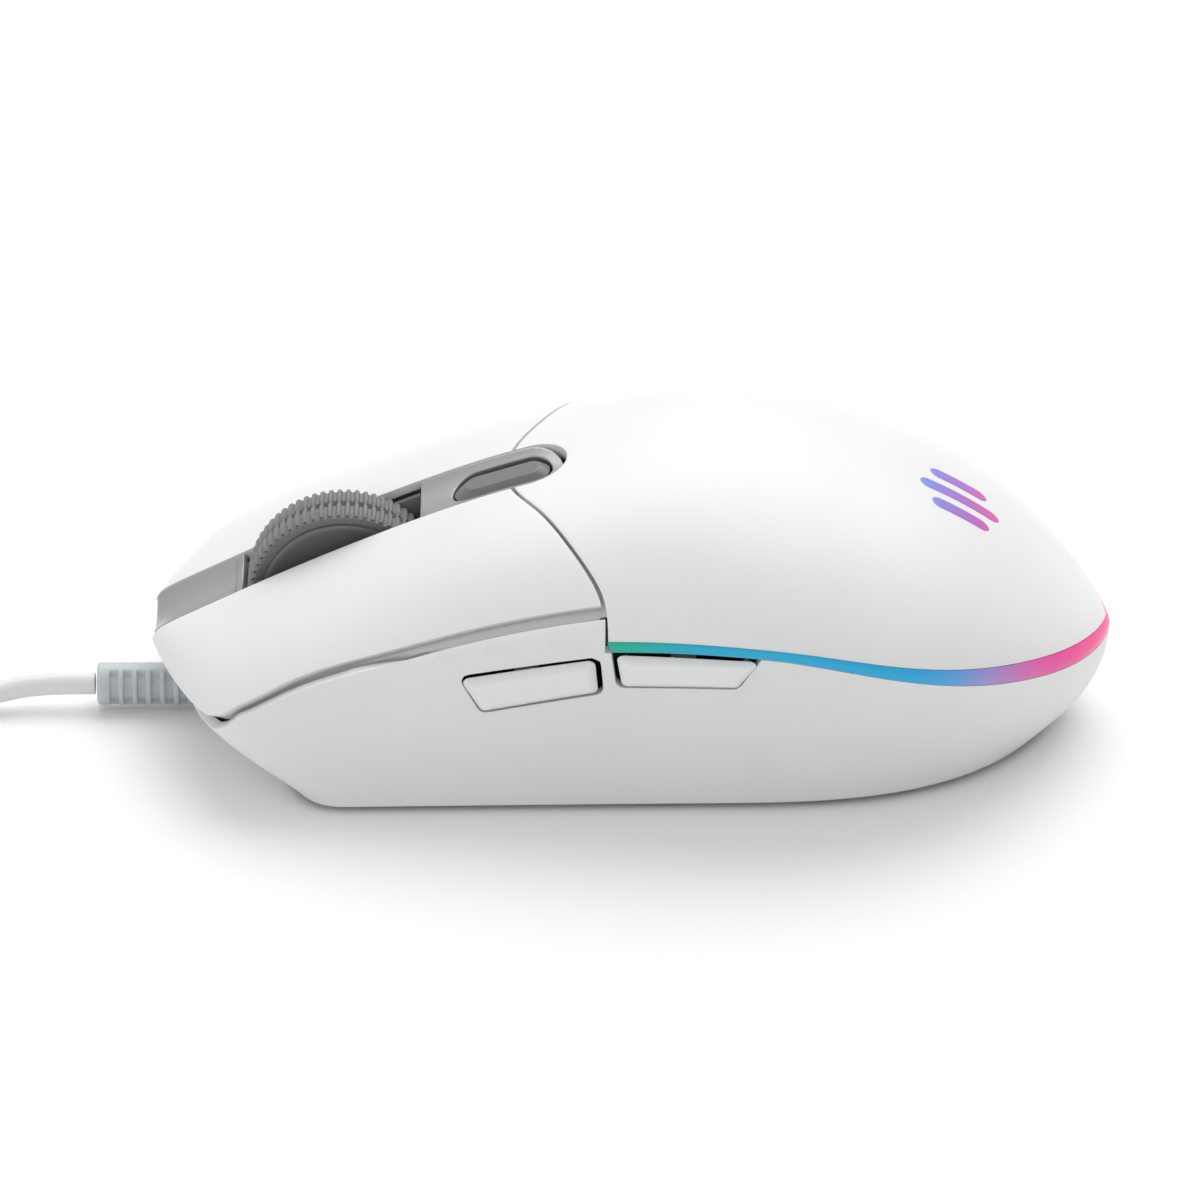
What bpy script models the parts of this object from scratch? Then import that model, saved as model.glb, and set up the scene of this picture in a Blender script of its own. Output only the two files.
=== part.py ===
"""Wired computer mouse with a lit band, as an assembly of separate parts.

The front, where the cable leaves, points along -X. The thumb side is -Y.
Named sizes are in millimetres and become metres when an object is made.
"""

import math

import bmesh
import bpy
import numpy as np
from mathutils import Matrix, Vector

MM = 0.001
SHARP_ANGLE = 35            # degrees between faces from which an edge stays sharp
GAP = 0.3                  # clearance between parts that rest on each other

# Overall size of the body
LENGTH = 116.6
WIDTH = 62.0
HEIGHT = 37.6
HALF = LENGTH / 2

# Form curves: place along the body as a share of its half length, then
# a height as a share of HEIGHT or a half width as a share of half of WIDTH
CROWN = ((-1.00, 0.348), (-0.86, 0.457), (-0.72, 0.566), (-0.51, 0.716), (-0.24, 0.878),
         (-0.10, 0.938), (0.05, 0.987), (0.15, 0.998), (0.31, 0.977), (0.46, 0.922),
         (0.62, 0.830), (0.82, 0.668), (1.00, 0.465))
BELT = ((-1.00, 0.309), (-0.84, 0.325), (-0.69, 0.441), (-0.51, 0.534), (-0.34, 0.594),
        (-0.17, 0.636), (0.00, 0.657), (0.17, 0.664), (0.34, 0.646), (0.51, 0.584),
        (0.69, 0.500), (0.82, 0.436), (0.91, 0.383), (1.00, 0.324))
SIDE = ((-1.00, 0.793), (-0.51, 0.819), (-0.14, 0.890), (0.09, 0.942), (0.26, 0.984),
        (0.45, 1.000), (1.00, 1.019))
FULLNESS = ((-1.0, 3.3), (-0.17, 3.1), (0.17, 2.7), (0.51, 2.45), (1.0, 2.2))
SHOULDER = ((-1.0, 1.10), (-0.17, 1.10), (0.17, 1.12), (0.51, 1.30), (0.77, 1.60), (1.0, 2.0))
NOSE_REACH = 0.158         # share of the half length over which the nose widens
NOSE_POWER = 0.66
CORNER_POWER = 12.0        # how tight the nose corners are
TAIL_START = 0.17          # where the plan begins to round towards the tail
TAIL_POWERS = (3.1, 1.4)
TAIL_CROWN_START = 0.51
TAIL_CROWN_POWERS = (2.6, 1.5)

# Footprint of the side housing where it meets the base
FOOT_FRONT = -0.72
FOOT_REAR = 0.892
FOOT_WIDTH = ((-1.0, 0.83), (0.0, 0.787), (1.0, 0.765))
FOOT_CORNER = 0.16
FOOT_TAIL_START = 0.17
FOOT_TAIL_POWERS = (3.0, 1.6)

# Shells and their seams
BASE_LOW = 0.9
BASE_THICK = 2.0
HOUSING_WALL = 2.0
BUTTON_WALL = 1.8
PALM_WALL = 2.0
STRIP_WALL = 2.0
SEAM_GAP = 0.5             # between the buttons and the palm cover
RIM_DROP = 1.2             # housing edge under the button groove, at the sides
NOSE_DROP = 2.4            # and at the nose, where the walls lean forward
LIP_REACH = -52.5          # ahead of this the strip and buttons lie over the housing's rim
SIDE_GROOVE = 0.9          # shadow groove under the main buttons
SEAM_LINE = ((0.0, -0.247), (0.146, -0.24), (0.39, -0.182), (0.65, -0.113), (0.78, -0.075),
             (0.86, -0.055), (1.0, -0.046))
SEAM_RISE = ((-1.0, 0.3), (-0.84, 0.3), (-0.69, 0.5), (-0.51, 0.9), (-0.34, 1.8), (-0.05, 3.5))
LIP_X = -0.985             # where the front lip of a button begins beside the strip
CORNER_X = -0.86           # front outer corner of a button
PALM_TAIL_X = 0.88

# Lit band
BAND_RISE = 0.6            # how far its top edge runs over the belt, in plan
BAND_DROP = 0.8
BAND_DEEP = 2.2
BAND_SEAT = 0.5            # how close the shells run to the belt before the band cuts them
BAND_START = -0.044

# Centre strip, wheel slot and DPI button
STRIP_HALF = 4.35
STRIP_FRONT = -57.2
STRIP_END = -7.8
STRIP_DIP = 0.7
WHEEL_X = -34.2
WHEEL_RADIUS = 11.8
WHEEL_PROUD = 0.3305 * WHEEL_RADIUS
WHEEL_WIDE = 6.4
TYRE_THICK = 1.8
SLOT_CLEAR = 0.45
SLOT_FRONT = 12.3          # slot reach ahead of the wheel's centre
SLOT_REAR = 9.2
DPI_X = -15.1
DPI_LONG = 11.4
DPI_WIDE = 5.4
DPI_PROUD = 0.9
DPI_DEEP = 3.0
DPI_STEM = 3.4             # how far behind its middle the stem stands

# Wheel axle and carrier
AXLE_RADIUS = 1.3
AXLE_LONG = 17.0
HUB_WIDE = 5.6
CARRIER_ARM = 1.6
CARRIER_INSIDE = 9.8       # distance between the arms
CARRIER_HIGH = 3.6
PIVOT_X = -17.0
PIVOT_Z = 12.4
PIN_RADIUS = 1.0
PIN_LONG = 24.0
POST_WIDE = 2.6
CLICK_Y = -10.0             # middle of the wheel-click switch

SPRING_X = -22.6
SPRING_RADIUS = 1.5
SPRING_WIRE = 0.45
SPRING_TURNS = 5

# Boards and switches
BOARD_LOW = 5.0
BOARD_THICK = 1.2
BOARD_FRONT = -40.8
BOARD_REAR = 30.0
BOARD_WIDE = 37.0
SWITCH_LONG = 12.8
SWITCH_WIDE = 5.8
SWITCH_HIGH = 6.5
PLUNGER_LONG = 2.9
PLUNGER_WIDE = 1.4
PLUNGER_UP = 0.8
PLUNGER_POCKET = 2.0
MAIN_SWITCH_X = -34.2
MAIN_SWITCH_Y = 16.2
BUTTON_POST = 2.2
BUTTON_PIVOT_X = -2.0        # axis on which the main buttons bend
BUTTON_PIVOT_Z = 0.88 * HEIGHT
TACT_SIZE = 6.0
TACT_HIGH = 3.6
TACT_STEM = 1.6
SIDE_BOARD_Y = -17.6
SIDE_BOARD_FRONT = -19.0
SIDE_BOARD_REAR = 15.0
FRONT_TACT = (-12.0, 17.9)
REAR_TACT = (6.5, 20.6)
LIGHT_BOARD_Z = 14.0

# Thumb buttons: place along the body and height of their four corners
THUMB_PROUD = 0.8
THUMB_DEEP = 2.6
THUMB_GAP = 0.35
FRONT_THUMB = ((-20.0, 18.8), (-4.0, 22.4), (-3.6, 17.4), (-17.4, 14.2))
REAR_THUMB = ((-1.5, 22.9), (15.6, 23.1), (12.8, 18.6), (-0.8, 18.2))

# Emblem: three slanting bars behind slots in the palm cover
EMBLEM_X = 39.8
EMBLEM_BARS = ((-3.6, 6.4), (0.0, 9.0), (3.6, 6.4))
BAR_WIDE = 1.8
EMBLEM_SEAT = 3.5          # depth of the backing under the skin
BAR_DEEP = 4.2

# Sensor
SENSOR_X = 4.0
LENS_LONG = 18.0
LENS_WIDE = 12.0
CHIP_SIZE = 10.0

# Screws and bosses
BOSS_RADIUS = 2.2
SCREW_SHANK = 0.9
SCREW_HEAD = 1.9
SCREW_HEAD_HIGH = 1.2
PILOT_CLEAR = 0.35
CASE_SCREWS = ((40.0, -8.0), (40.0, 8.0), (22.0, 0.0))
BOARD_SCREWS = ((-24.0, -16.0), (-24.0, 16.0))

# Feet
FOOT_THICK = 0.6
FOOT_PLACES = (("front_left_foot", -33.0, -13.5), ("front_right_foot", -33.0, 13.5),
               ("rear_left_foot", 33.0, -10.5), ("rear_right_foot", 33.0, 10.5))
FOOT_LONG = 8.0
FOOT_WIDE = 14.0

# Cable: strain relief, free stretch, put-away coil and plug
CABLE_DIAMETER = 2.7
CABLE_Z = 3.2
RELIEF_TIP = -64.5
RELIEF_ROOT = -41.4
RELIEF_RADIUS = 2.6
RELIEF_RIB = 2.4           # pitch of the ribs
RELIEF_GROOVE = 0.5
LEAD_DIAMETER = 1.6
LEAD_ROUTE = ((-40.8, 0.1, 3.2), (-40.0, 0.9, 3.3), (-39.7, 2.4, 3.7), (-39.7, 4.2, 4.7),
              (-39.6, 5.6, 6.4), (-39.3, 6.6, 7.8), (-38.8, 7.9, 8.4))
CABLE_ROUTE = ((-64.8, 0.0, 3.2), (-69.0, 0.0, 3.15), (-73.5, -0.3, 2.9), (-78.0, -1.4, 2.3),
               (-82.5, -3.6, 1.7), (-87.0, -6.6, 1.4), (-91.0, -9.4, 1.36), (-94.5, -11.1, 1.36))
TAIL_ROUTE = ((-121.5, -11.6, 8.2), (-126.5, -8.8, 6.9), (-131.5, -4.6, 5.5), (-135.8, 0.6, 4.4),
              (-138.6, 6.0, 3.9), (-139.7, 11.2, 3.8))
COIL_X = -108.0
COIL_Y = 10.0
COIL_INNER = 9.5
COIL_OUTER = 23.4
COIL_HIGH = 10.8
CLIP_THICK = 1.2
CLIP_WIDE = 6.0
CLIP_LOW = 0.3
PLUG_X = -139.7
PLUG_Y = 11.5
GRIP_LONG = 24.0
GRIP_WIDE = 15.6
GRIP_HIGH = 7.6
SHELL_LONG = 12.0
SHELL_WIDE = 12.0
SHELL_HIGH = 4.5
SHELL_WALL = 0.4
TONGUE_HIGH = 1.6


def curve_through(points):
    """Natural cubic spline through (place, value) points, as a function."""
    places = np.array([point[0] for point in points], float)
    values = np.array([point[1] for point in points], float)
    steps = np.diff(places)
    count = len(places)
    matrix = np.eye(count)
    right = np.zeros(count)
    for i in range(1, count - 1):
        matrix[i, i - 1] = steps[i - 1]
        matrix[i, i] = 2 * (steps[i - 1] + steps[i])
        matrix[i, i + 1] = steps[i]
        right[i] = 6 * ((values[i + 1] - values[i]) / steps[i]
                        - (values[i] - values[i - 1]) / steps[i - 1])
    bends = np.linalg.solve(matrix, right)

    def value(place):
        place = min(max(place, places[0]), places[-1])
        i = min(int(np.searchsorted(places, place, side="right")) - 1, count - 2)
        step = steps[i]
        before = (places[i + 1] - place) / step
        after = (place - places[i]) / step
        return float(before * values[i] + after * values[i + 1]
                     + ((before ** 3 - before) * bends[i]
                        + (after ** 3 - after) * bends[i + 1]) * step * step / 6)

    return value


crown_share = curve_through(CROWN)
belt_share = curve_through(BELT)
side_share = curve_through(SIDE)
fullness = curve_through(FULLNESS)
shoulder = curve_through(SHOULDER)
foot_share = curve_through(FOOT_WIDTH)
seam_share = curve_through(SEAM_LINE)
seam_rise = curve_through(SEAM_RISE)


def tail(place, start, end, powers):
    """Rounding factor that falls from 1 at start to 0 at end."""
    reach = max(place - start, 0.0) / (end - start)
    return max(1 - reach ** powers[0], 0.0) ** (1 / powers[1])


def belt_z(x):
    return belt_share(x / HALF) * HEIGHT


def half_width(x):
    place = min(max(x / HALF, -1.0), 1.0)
    broad = side_share(place) * WIDTH / 2 * tail(place, TAIL_START, 1.0, TAIL_POWERS)
    nose_full = SIDE[0][1] * WIDTH / 2
    nose = nose_full * ((place + 1) / NOSE_REACH) ** NOSE_POWER
    if broad <= 1e-6 or nose <= 1e-6:
        return 0.0
    return (broad ** -CORNER_POWER + nose ** -CORNER_POWER) ** (-1 / CORNER_POWER)


def dome_height(x):
    place = min(max(x / HALF, -1.0), 1.0)
    low = belt_z(x)
    rise = crown_share(place) * HEIGHT - low
    return rise * tail(place, TAIL_CROWN_START, 1.0, TAIL_CROWN_POWERS)


def top_z(x, y):
    """Height of the outer skin over a point of the plan."""
    place = min(max(x / HALF, -1.0), 1.0)
    across = min(abs(y) / max(half_width(x), 1e-6), 1.0)
    round_off = (1 - across ** fullness(place)) ** (1 / shoulder(place))
    return belt_z(x) + dome_height(x) * round_off


def outline(turn):
    """Belt point for turn 0 at the nose to 1 at the tail, on the +Y side."""
    x = -HALF * math.cos(math.pi * turn)
    return Vector((x, half_width(x), belt_z(x)))


def turn_at(share):
    """Turn of the outline at a share of the half length."""
    return math.acos(-share) / math.pi


def spine_point(x):
    """Point on the centre plane that the plan shrinks towards."""
    return Vector((min(max(x, -0.69 * HALF), 0.51 * HALF), 0, 0))


def inset_outline(turn, distance):
    """Plan point a distance inside the outline, lifted to the skin."""
    point = outline(turn)
    plan = Vector((point.x, point.y, 0))
    inward = spine_point(point.x) - plan
    plan += inward.normalized() * distance
    return Vector((plan.x, plan.y, top_z(plan.x, plan.y)))


def footprint(turn):
    """Outline of the wall where it meets the base, on the +Y side."""
    middle = (FOOT_FRONT + FOOT_REAR) / 2
    reach = (FOOT_REAR - FOOT_FRONT) / 2
    place = middle - reach * math.cos(math.pi * turn)
    width = foot_share(place) * WIDTH / 2
    front = min((place - FOOT_FRONT) / FOOT_CORNER, 1.0)
    width *= max(1 - (1 - front) ** 3, 0.0) ** (1 / 3)
    width *= tail(place, FOOT_TAIL_START, FOOT_REAR, FOOT_TAIL_POWERS)
    return Vector((place * HALF, width, BASE_LOW))


def wall_point(turn, drop):
    """Point of the side wall a height under the belt, on the +Y side."""
    high = outline(turn)
    low = footprint(turn)
    share = min(max(drop / (high.z - low.z), 0.0), 1.0)
    front_blend = min(max((turn - 0.15) / 0.15, 0.0), 1.0)
    rear_blend = min(max((turn - 0.6) / 0.25, 0.0), 1.0)
    corner_blend = min(max((turn - 0.11) / 0.06, 0.0), 1.0)
    tail_blend = min(max((turn - 0.82) / 0.1, 0.0), 1.0)
    power = 1.0 + 0.7 * corner_blend - 1.05 * front_blend + 0.85 * rear_blend + 1.2 * tail_blend
    bend = share ** power
    point = high.lerp(low, bend)
    point.z = high.z + (low.z - high.z) * share
    return point


def rise_point(x, rise):
    """Point of the skin at a height over the belt, on the +Y side."""
    place = x / HALF
    share = min(rise / dome_height(x), 1.0)
    across = (1 - share ** shoulder(place)) ** (1 / fullness(place))
    return Vector((x, across * half_width(x), belt_z(x) + rise))


def wall_y(x, z):
    """Distance of the side wall from the centre plane at a place and height."""
    turn = turn_at(x / HALF)
    for _ in range(20):
        point = wall_point(turn, outline(turn).z - z)
        turn += (x - point.x) / (HALF * math.pi) / max(math.sin(math.pi * turn), 0.2)
    return wall_point(turn, outline(turn).z - z).y


# Scene, collections and materials

def clear_scene():
    for item in list(bpy.data.objects):
        bpy.data.objects.remove(item, do_unlink=True)


def new_collection(name):
    group = bpy.data.collections.new(name)
    bpy.context.scene.collection.children.link(group)
    return group


def material(name, colour, roughness, metallic=0.0):
    item = bpy.data.materials.new(name)
    item.use_nodes = True
    shader = item.node_tree.nodes["Principled BSDF"]
    shader.inputs["Base Color"].default_value = (*colour, 1)
    shader.inputs["Roughness"].default_value = roughness
    shader.inputs["Metallic"].default_value = metallic
    return item


clear_scene()
PARTS = new_collection("computer_mouse")
CUTTERS = new_collection("cutters")
WHITE = material("white_shell", (0.86, 0.86, 0.85), 0.35)
GREY = material("satin_grey", (0.42, 0.42, 0.43), 0.4)
DARK = material("dark_grey", (0.10, 0.10, 0.11), 0.5)
RUBBER = material("grey_rubber", (0.25, 0.25, 0.26), 0.8)
LIGHT = material("light_guide", (0.30, 0.60, 0.85), 0.3)
BOARD = material("circuit_board", (0.03, 0.20, 0.10), 0.5)
STEEL = material("steel", (0.60, 0.60, 0.62), 0.3, 1.0)
CLEAR = material("clear_plastic", (0.80, 0.85, 0.90), 0.1)
SWITCH = material("switch_plastic", (0.06, 0.06, 0.07), 0.5)
CABLE = material("pale_cable", (0.72, 0.72, 0.72), 0.6)


def add_object(name, mesh, finish, group=None):
    item = bpy.data.objects.new(name, mesh)
    (group or PARTS).objects.link(item)
    if finish:
        mesh.materials.append(finish)
    return item


def from_bmesh(name, shape, finish, group=None):
    mesh = bpy.data.meshes.new(name)
    bmesh.ops.scale(shape, vec=(MM, MM, MM), verts=shape.verts)
    shape.to_mesh(mesh)
    shape.free()
    return add_object(name, mesh, finish, group)


def patch(name, columns, rows, place, finish, wall, group=None, ring=False):
    """Open skin from a grid moved by place(u, v), thickened inwards by wall."""
    shape = bmesh.new()
    bmesh.ops.create_grid(shape, x_segments=columns, y_segments=rows, size=0.5)
    for vertex in shape.verts:
        vertex.co = place(vertex.co.x + 0.5, vertex.co.y + 0.5)
    if ring:
        bmesh.ops.remove_doubles(shape, verts=shape.verts, dist=0.01)
    shape.normal_update()
    core = Vector((0, 0, 0.4 * HEIGHT))
    facing = sum(face.normal.dot(face.calc_center_median() - core) for face in shape.faces)
    if facing < 0:
        bmesh.ops.reverse_faces(shape, faces=shape.faces)
    item = from_bmesh(name, shape, finish, group)
    thick = item.modifiers.new("wall", "SOLIDIFY")
    thick.thickness = wall * MM
    thick.offset = -1
    return item


def pressed(name, columns, rows, place, finish, depth, floor=None):
    """Grid moved by place(u, v) and made solid along depth, kept above floor(x)."""
    shape = bmesh.new()
    bmesh.ops.create_grid(shape, x_segments=columns, y_segments=rows, size=0.5)
    for vertex in shape.verts:
        vertex.co = place(vertex.co.x + 0.5, vertex.co.y + 0.5)
    swept = bmesh.ops.extrude_face_region(shape, geom=shape.faces[:])
    moved = [item for item in swept["geom"] if isinstance(item, bmesh.types.BMVert)]
    bmesh.ops.translate(shape, vec=depth, verts=moved)
    for vertex in moved if floor else ():
        vertex.co.z = max(vertex.co.z, floor(vertex.co.x))
    bmesh.ops.recalc_face_normals(shape, faces=shape.faces)
    return from_bmesh(name, shape, finish)


def swept(name, rings, finish, group=None):
    """Closed bar through a row of cross sections."""
    shape = bmesh.new()
    rows = [[shape.verts.new(point) for point in ring] for ring in rings]
    for row, after in zip(rows, rows[1:]):
        for i in range(len(row)):
            shape.faces.new((row[i - 1], row[i], after[i], after[i - 1]))
    shape.faces.new(rows[0])
    shape.faces.new(rows[-1])
    bmesh.ops.recalc_face_normals(shape, faces=shape.faces)
    return from_bmesh(name, shape, finish, group)


def box(name, low, high, finish, bevel=0.0, group=None):
    shape = bmesh.new()
    bmesh.ops.create_cube(shape, size=1)
    size = Vector(high) - Vector(low)
    bmesh.ops.scale(shape, vec=size, verts=shape.verts)
    bmesh.ops.translate(shape, vec=(Vector(high) + Vector(low)) / 2, verts=shape.verts)
    item = from_bmesh(name, shape, finish, group)
    if bevel:
        edge = item.modifiers.new("edges", "BEVEL")
        edge.width = bevel * MM
        edge.segments = 1
    return item


def turned(name, profile, axis, centre, finish, group=None, segments=32):
    """Solid of revolution from (radius, along) points, bottom to top."""
    shape = bmesh.new()
    ring = [shape.verts.new((radius, 0, along)) for radius, along in profile]
    for first, second in zip(ring, ring[1:]):
        shape.edges.new((first, second))
    bmesh.ops.spin(shape, geom=shape.verts[:] + shape.edges[:], axis=(0, 0, 1), cent=(0, 0, 0),
                   angle=math.tau, steps=segments, use_merge=False)
    bmesh.ops.remove_doubles(shape, verts=shape.verts, dist=0.0005)
    bmesh.ops.recalc_face_normals(shape, faces=shape.faces)
    turn = Vector((0, 0, 1)).rotation_difference(Vector(axis)).to_matrix()
    bmesh.ops.rotate(shape, matrix=turn, cent=(0, 0, 0), verts=shape.verts)
    bmesh.ops.translate(shape, vec=centre, verts=shape.verts)
    return from_bmesh(name, shape, finish, group)


def cylinder(name, radius, low, high, finish, axis="Z", group=None, segments=24):
    """Cylinder between two points that lie along one axis."""
    low, high = Vector(low), Vector(high)
    direction = {"X": (1, 0, 0), "Y": (0, 1, 0), "Z": (0, 0, 1)}[axis]
    length = (high - low).length
    shape = bmesh.new()
    bmesh.ops.create_cone(shape, cap_ends=True, segments=segments, radius1=radius,
                          radius2=radius, depth=length)
    turn = Vector((0, 0, 1)).rotation_difference(Vector(direction)).to_matrix()
    bmesh.ops.rotate(shape, matrix=turn, cent=(0, 0, 0), verts=shape.verts)
    bmesh.ops.translate(shape, vec=(low + high) / 2, verts=shape.verts)
    return from_bmesh(name, shape, finish, group)


def plate(name, points, low, high, finish, group=None):
    """Flat outline filled and extruded between two heights."""
    line = bpy.data.curves.new(name, "CURVE")
    line.dimensions = "2D"
    line.fill_mode = "BOTH"
    line.extrude = (high - low) / 2 * MM
    spline = line.splines.new("POLY")
    spline.points.add(len(points) - 1)
    for point, (x, y) in zip(spline.points, points):
        point.co = (x * MM, y * MM, 0, 1)
    spline.use_cyclic_u = True
    curve = bpy.data.objects.new(name + "_outline", line)
    PARTS.objects.link(curve)
    curve.location.z = (low + high) / 2 * MM
    return mesh_from_curve(name, curve, finish, group)


def mesh_from_curve(name, curve, finish, group=None):
    """Closed mesh object in the place of a curve object."""
    bpy.context.view_layer.update()
    scene_state = bpy.context.evaluated_depsgraph_get()
    mesh = bpy.data.meshes.new_from_object(curve.evaluated_get(scene_state))
    mesh.transform(curve.matrix_world)
    bpy.data.objects.remove(curve, do_unlink=True)
    shape = bmesh.new()
    shape.from_mesh(mesh)
    bmesh.ops.remove_doubles(shape, verts=shape.verts, dist=1e-6)
    bmesh.ops.recalc_face_normals(shape, faces=shape.faces)
    shape.to_mesh(mesh)
    shape.free()
    mesh.name = name
    mesh.materials.clear()
    return add_object(name, mesh, finish, group)


def stadium(centre, long, wide, angle=0.0, steps=6):
    """Outline of a bar with round ends."""
    radius = wide / 2
    reach = long / 2 - radius
    points = []
    for end in (1, -1):
        for i in range(steps + 1):
            turn = math.pi * (i / steps - 0.5)
            x = end * (reach + radius * math.cos(turn))
            y = end * radius * math.sin(turn)
            points.append((centre[0] + x * math.cos(angle) - y * math.sin(angle),
                           centre[1] + x * math.sin(angle) + y * math.cos(angle)))
    return points


def combine(target, tool, operation):
    """Keep a Boolean of two meshes as the target's own mesh."""
    step = target.modifiers.new(tool.name, "BOOLEAN")
    step.operation = operation
    step.object = tool
    bpy.context.view_layer.update()
    scene_state = bpy.context.evaluated_depsgraph_get()
    mesh = bpy.data.meshes.new_from_object(target.evaluated_get(scene_state))
    target.modifiers.clear()
    old = target.data
    target.data = mesh
    bpy.data.meshes.remove(old)
    bpy.data.objects.remove(tool, do_unlink=True)
    return target


def cut(target, tool):
    return combine(target, tool, "DIFFERENCE")


def join(target, tool):
    return combine(target, tool, "UNION")


def bore(target, x, y, low, high, radius):
    cut(target, cylinder("bore", radius, (x, y, low), (x, y, high), None, group=CUTTERS))


# Body shells

def housing_edge(turn):
    """Height of the side housing's top edge over the belt."""
    x = outline(turn).x
    if x < BAND_START * HALF - SEAM_GAP:
        nose = min(max((x / HALF - CORNER_X) / 0.06, 0.0), 1.0)
        return (seam_rise(x / HALF) - SIDE_GROOVE / 2 - RIM_DROP) * nose - NOSE_DROP * (1 - nose)
    return -BAND_SEAT


def housing_point(around, down):
    side = 1 if around < 0.5 else -1
    turn = 2 * around if around < 0.5 else 2 * (1 - around)
    turn = min(max(turn, 0.0), 1.0)
    belt = outline(turn)
    edge = housing_edge(turn)
    rise = edge + (BASE_LOW - belt.z - edge) * down
    if rise > 0:
        point = rise_point(belt.x, rise)
    else:
        point = wall_point(turn, -rise)
    return Vector((point.x, side * point.y, point.z))


def make_side_housing():
    housing = patch("side_housing", 84, 7, housing_point, WHITE, HOUSING_WALL, ring=True)
    cut(housing, band_room())
    for name, corners in (("front_opening", FRONT_THUMB), ("rear_opening", REAR_THUMB)):
        cut(housing, thumb_cutter(name, corners))
    passage = cylinder("cable_passage", RELIEF_RADIUS + GAP, (RELIEF_TIP, 0, CABLE_Z),
                       (RELIEF_ROOT + 6, 0, CABLE_Z), None, "X", CUTTERS)
    cut(housing, passage)
    return housing


def thumb_cutter(name, corners):
    """Upright prism through the thumb wall, grown from a button's outline."""
    centre = Vector((sum(c[0] for c in corners) / 4, sum(c[1] for c in corners) / 4))
    shape = bmesh.new()
    ring = []
    for corner in corners:
        away = Vector(corner) - centre
        grown = Vector(corner) + Vector((math.copysign(THUMB_GAP, away.x),
                                         math.copysign(THUMB_GAP, away.y)))
        ring.append(shape.verts.new((grown.x, -WIDTH, grown.y)))
    face = shape.faces.new(ring)
    swept = bmesh.ops.extrude_face_region(shape, geom=[face])
    moved = [item for item in swept["geom"] if isinstance(item, bmesh.types.BMVert)]
    bmesh.ops.translate(shape, vec=(0, WIDTH - 15, 0), verts=moved)
    bmesh.ops.recalc_face_normals(shape, faces=shape.faces)
    return from_bmesh(name, shape, None, CUTTERS)


def shrunk(points, distance):
    """Closed plan outline moved inwards by a distance."""
    moved = []
    for i, point in enumerate(points):
        before, after = Vector(points[i - 1]), Vector(points[(i + 1) % len(points)])
        along = (after - before).normalized()
        moved.append(tuple(Vector(point) + Vector((-along.y, along.x)) * distance))
    return moved


def make_base_plate():
    steps = 40
    half = [footprint(i / steps) for i in range(steps + 1)]
    rim = [(point.x, -point.y) for point in half[:-1]]
    rim += [(point.x, point.y) for point in reversed(half[1:])]
    points = shrunk(rim, HOUSING_WALL + GAP + 0.5)
    low, high = BASE_LOW, BASE_LOW + BASE_THICK
    base = plate("base_plate", points, low, high, DARK)
    for x, y in BOARD_SCREWS:
        join(base, cylinder("post", BOSS_RADIUS, (x, y, low + 0.5), (x, y, BOARD_LOW - GAP), None,
                            group=CUTTERS))
        bore(base, x, y, low + 1.0, BOARD_LOW + 1, SCREW_SHANK + PILOT_CLEAR)
    for side in (1, -1):
        y = side * (PIN_LONG / 2 - POST_WIDE / 2 - 0.6)
        join(base, box("pivot_post", (PIVOT_X - 2.6, y - POST_WIDE / 2, low + 0.5),
                       (PIVOT_X + 2.6, y + POST_WIDE / 2, PIVOT_Z + 2.6), None, group=CUTTERS))
    cut(base, cylinder("pin_hole", PIN_RADIUS + GAP, (PIVOT_X, -PIN_LONG, PIVOT_Z),
                       (PIVOT_X, PIN_LONG, PIVOT_Z), None, "Y", CUTTERS))
    cut(base, box("cable_notch", (-HALF, -RELIEF_RADIUS - 1.2, low - 1),
                  (RELIEF_ROOT + 9, RELIEF_RADIUS + 1.2, high + 1), None, group=CUTTERS))
    cut(base, cylinder("sensor_window", 4.5, (SENSOR_X, 0, low - 1), (SENSOR_X, 0, high + 1), None,
                       group=CUTTERS))
    for x, y in CASE_SCREWS:
        bore(base, x, y, low - 1, high + 1, SCREW_SHANK + PILOT_CLEAR)
        bore(base, x, y, low - 1, low + SCREW_HEAD_HIGH + 0.2, SCREW_HEAD + PILOT_CLEAR)
    return base


def palm_point(across, along):
    """Plan of the palm cover as a patch between its four edges."""
    def seam_edge(share):
        y = (2 * share - 1) * half_width(BAND_START * HALF)
        reach = min(abs(y) / half_width(BAND_START * HALF), 1.0)
        x = seam_share(reach) * HALF + SEAM_GAP / 2
        limit = inset_outline(turn_at(x / HALF), BAND_SEAT).y
        return Vector((x, math.copysign(min(abs(y), limit), y)))

    def side_edge(side, share):
        first = turn_at(seam_share(1.0) + SEAM_GAP / 2 / HALF)
        last = turn_at(PALM_TAIL_X)
        point = inset_outline(first + (last - first) * share, BAND_SEAT)
        return Vector((point.x, side * point.y))

    def tail_edge(share):
        last = turn_at(PALM_TAIL_X)
        side = -1 if share < 0.5 else 1
        turn = 1 - abs(2 * share - 1) * (1 - last)
        point = inset_outline(turn, BAND_SEAT)
        return Vector((point.x, side * point.y))

    along = 1 - (1 - along) ** 1.2
    plan = blend_edges(seam_edge, tail_edge, lambda v: side_edge(-1, v),
                       lambda v: side_edge(1, v), across, along)
    return Vector((plan.x, plan.y, top_z(plan.x, plan.y)))


def blend_edges(front, rear, left, right, across, along):
    """Patch in plan that follows four edge curves."""
    ruled = front(across) * (1 - along) + rear(across) * along
    ruled += left(along) * (1 - across) + right(along) * across
    corners = (front(0) * (1 - across) + front(1) * across) * (1 - along)
    corners += (rear(0) * (1 - across) + rear(1) * across) * along
    return ruled - corners


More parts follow.
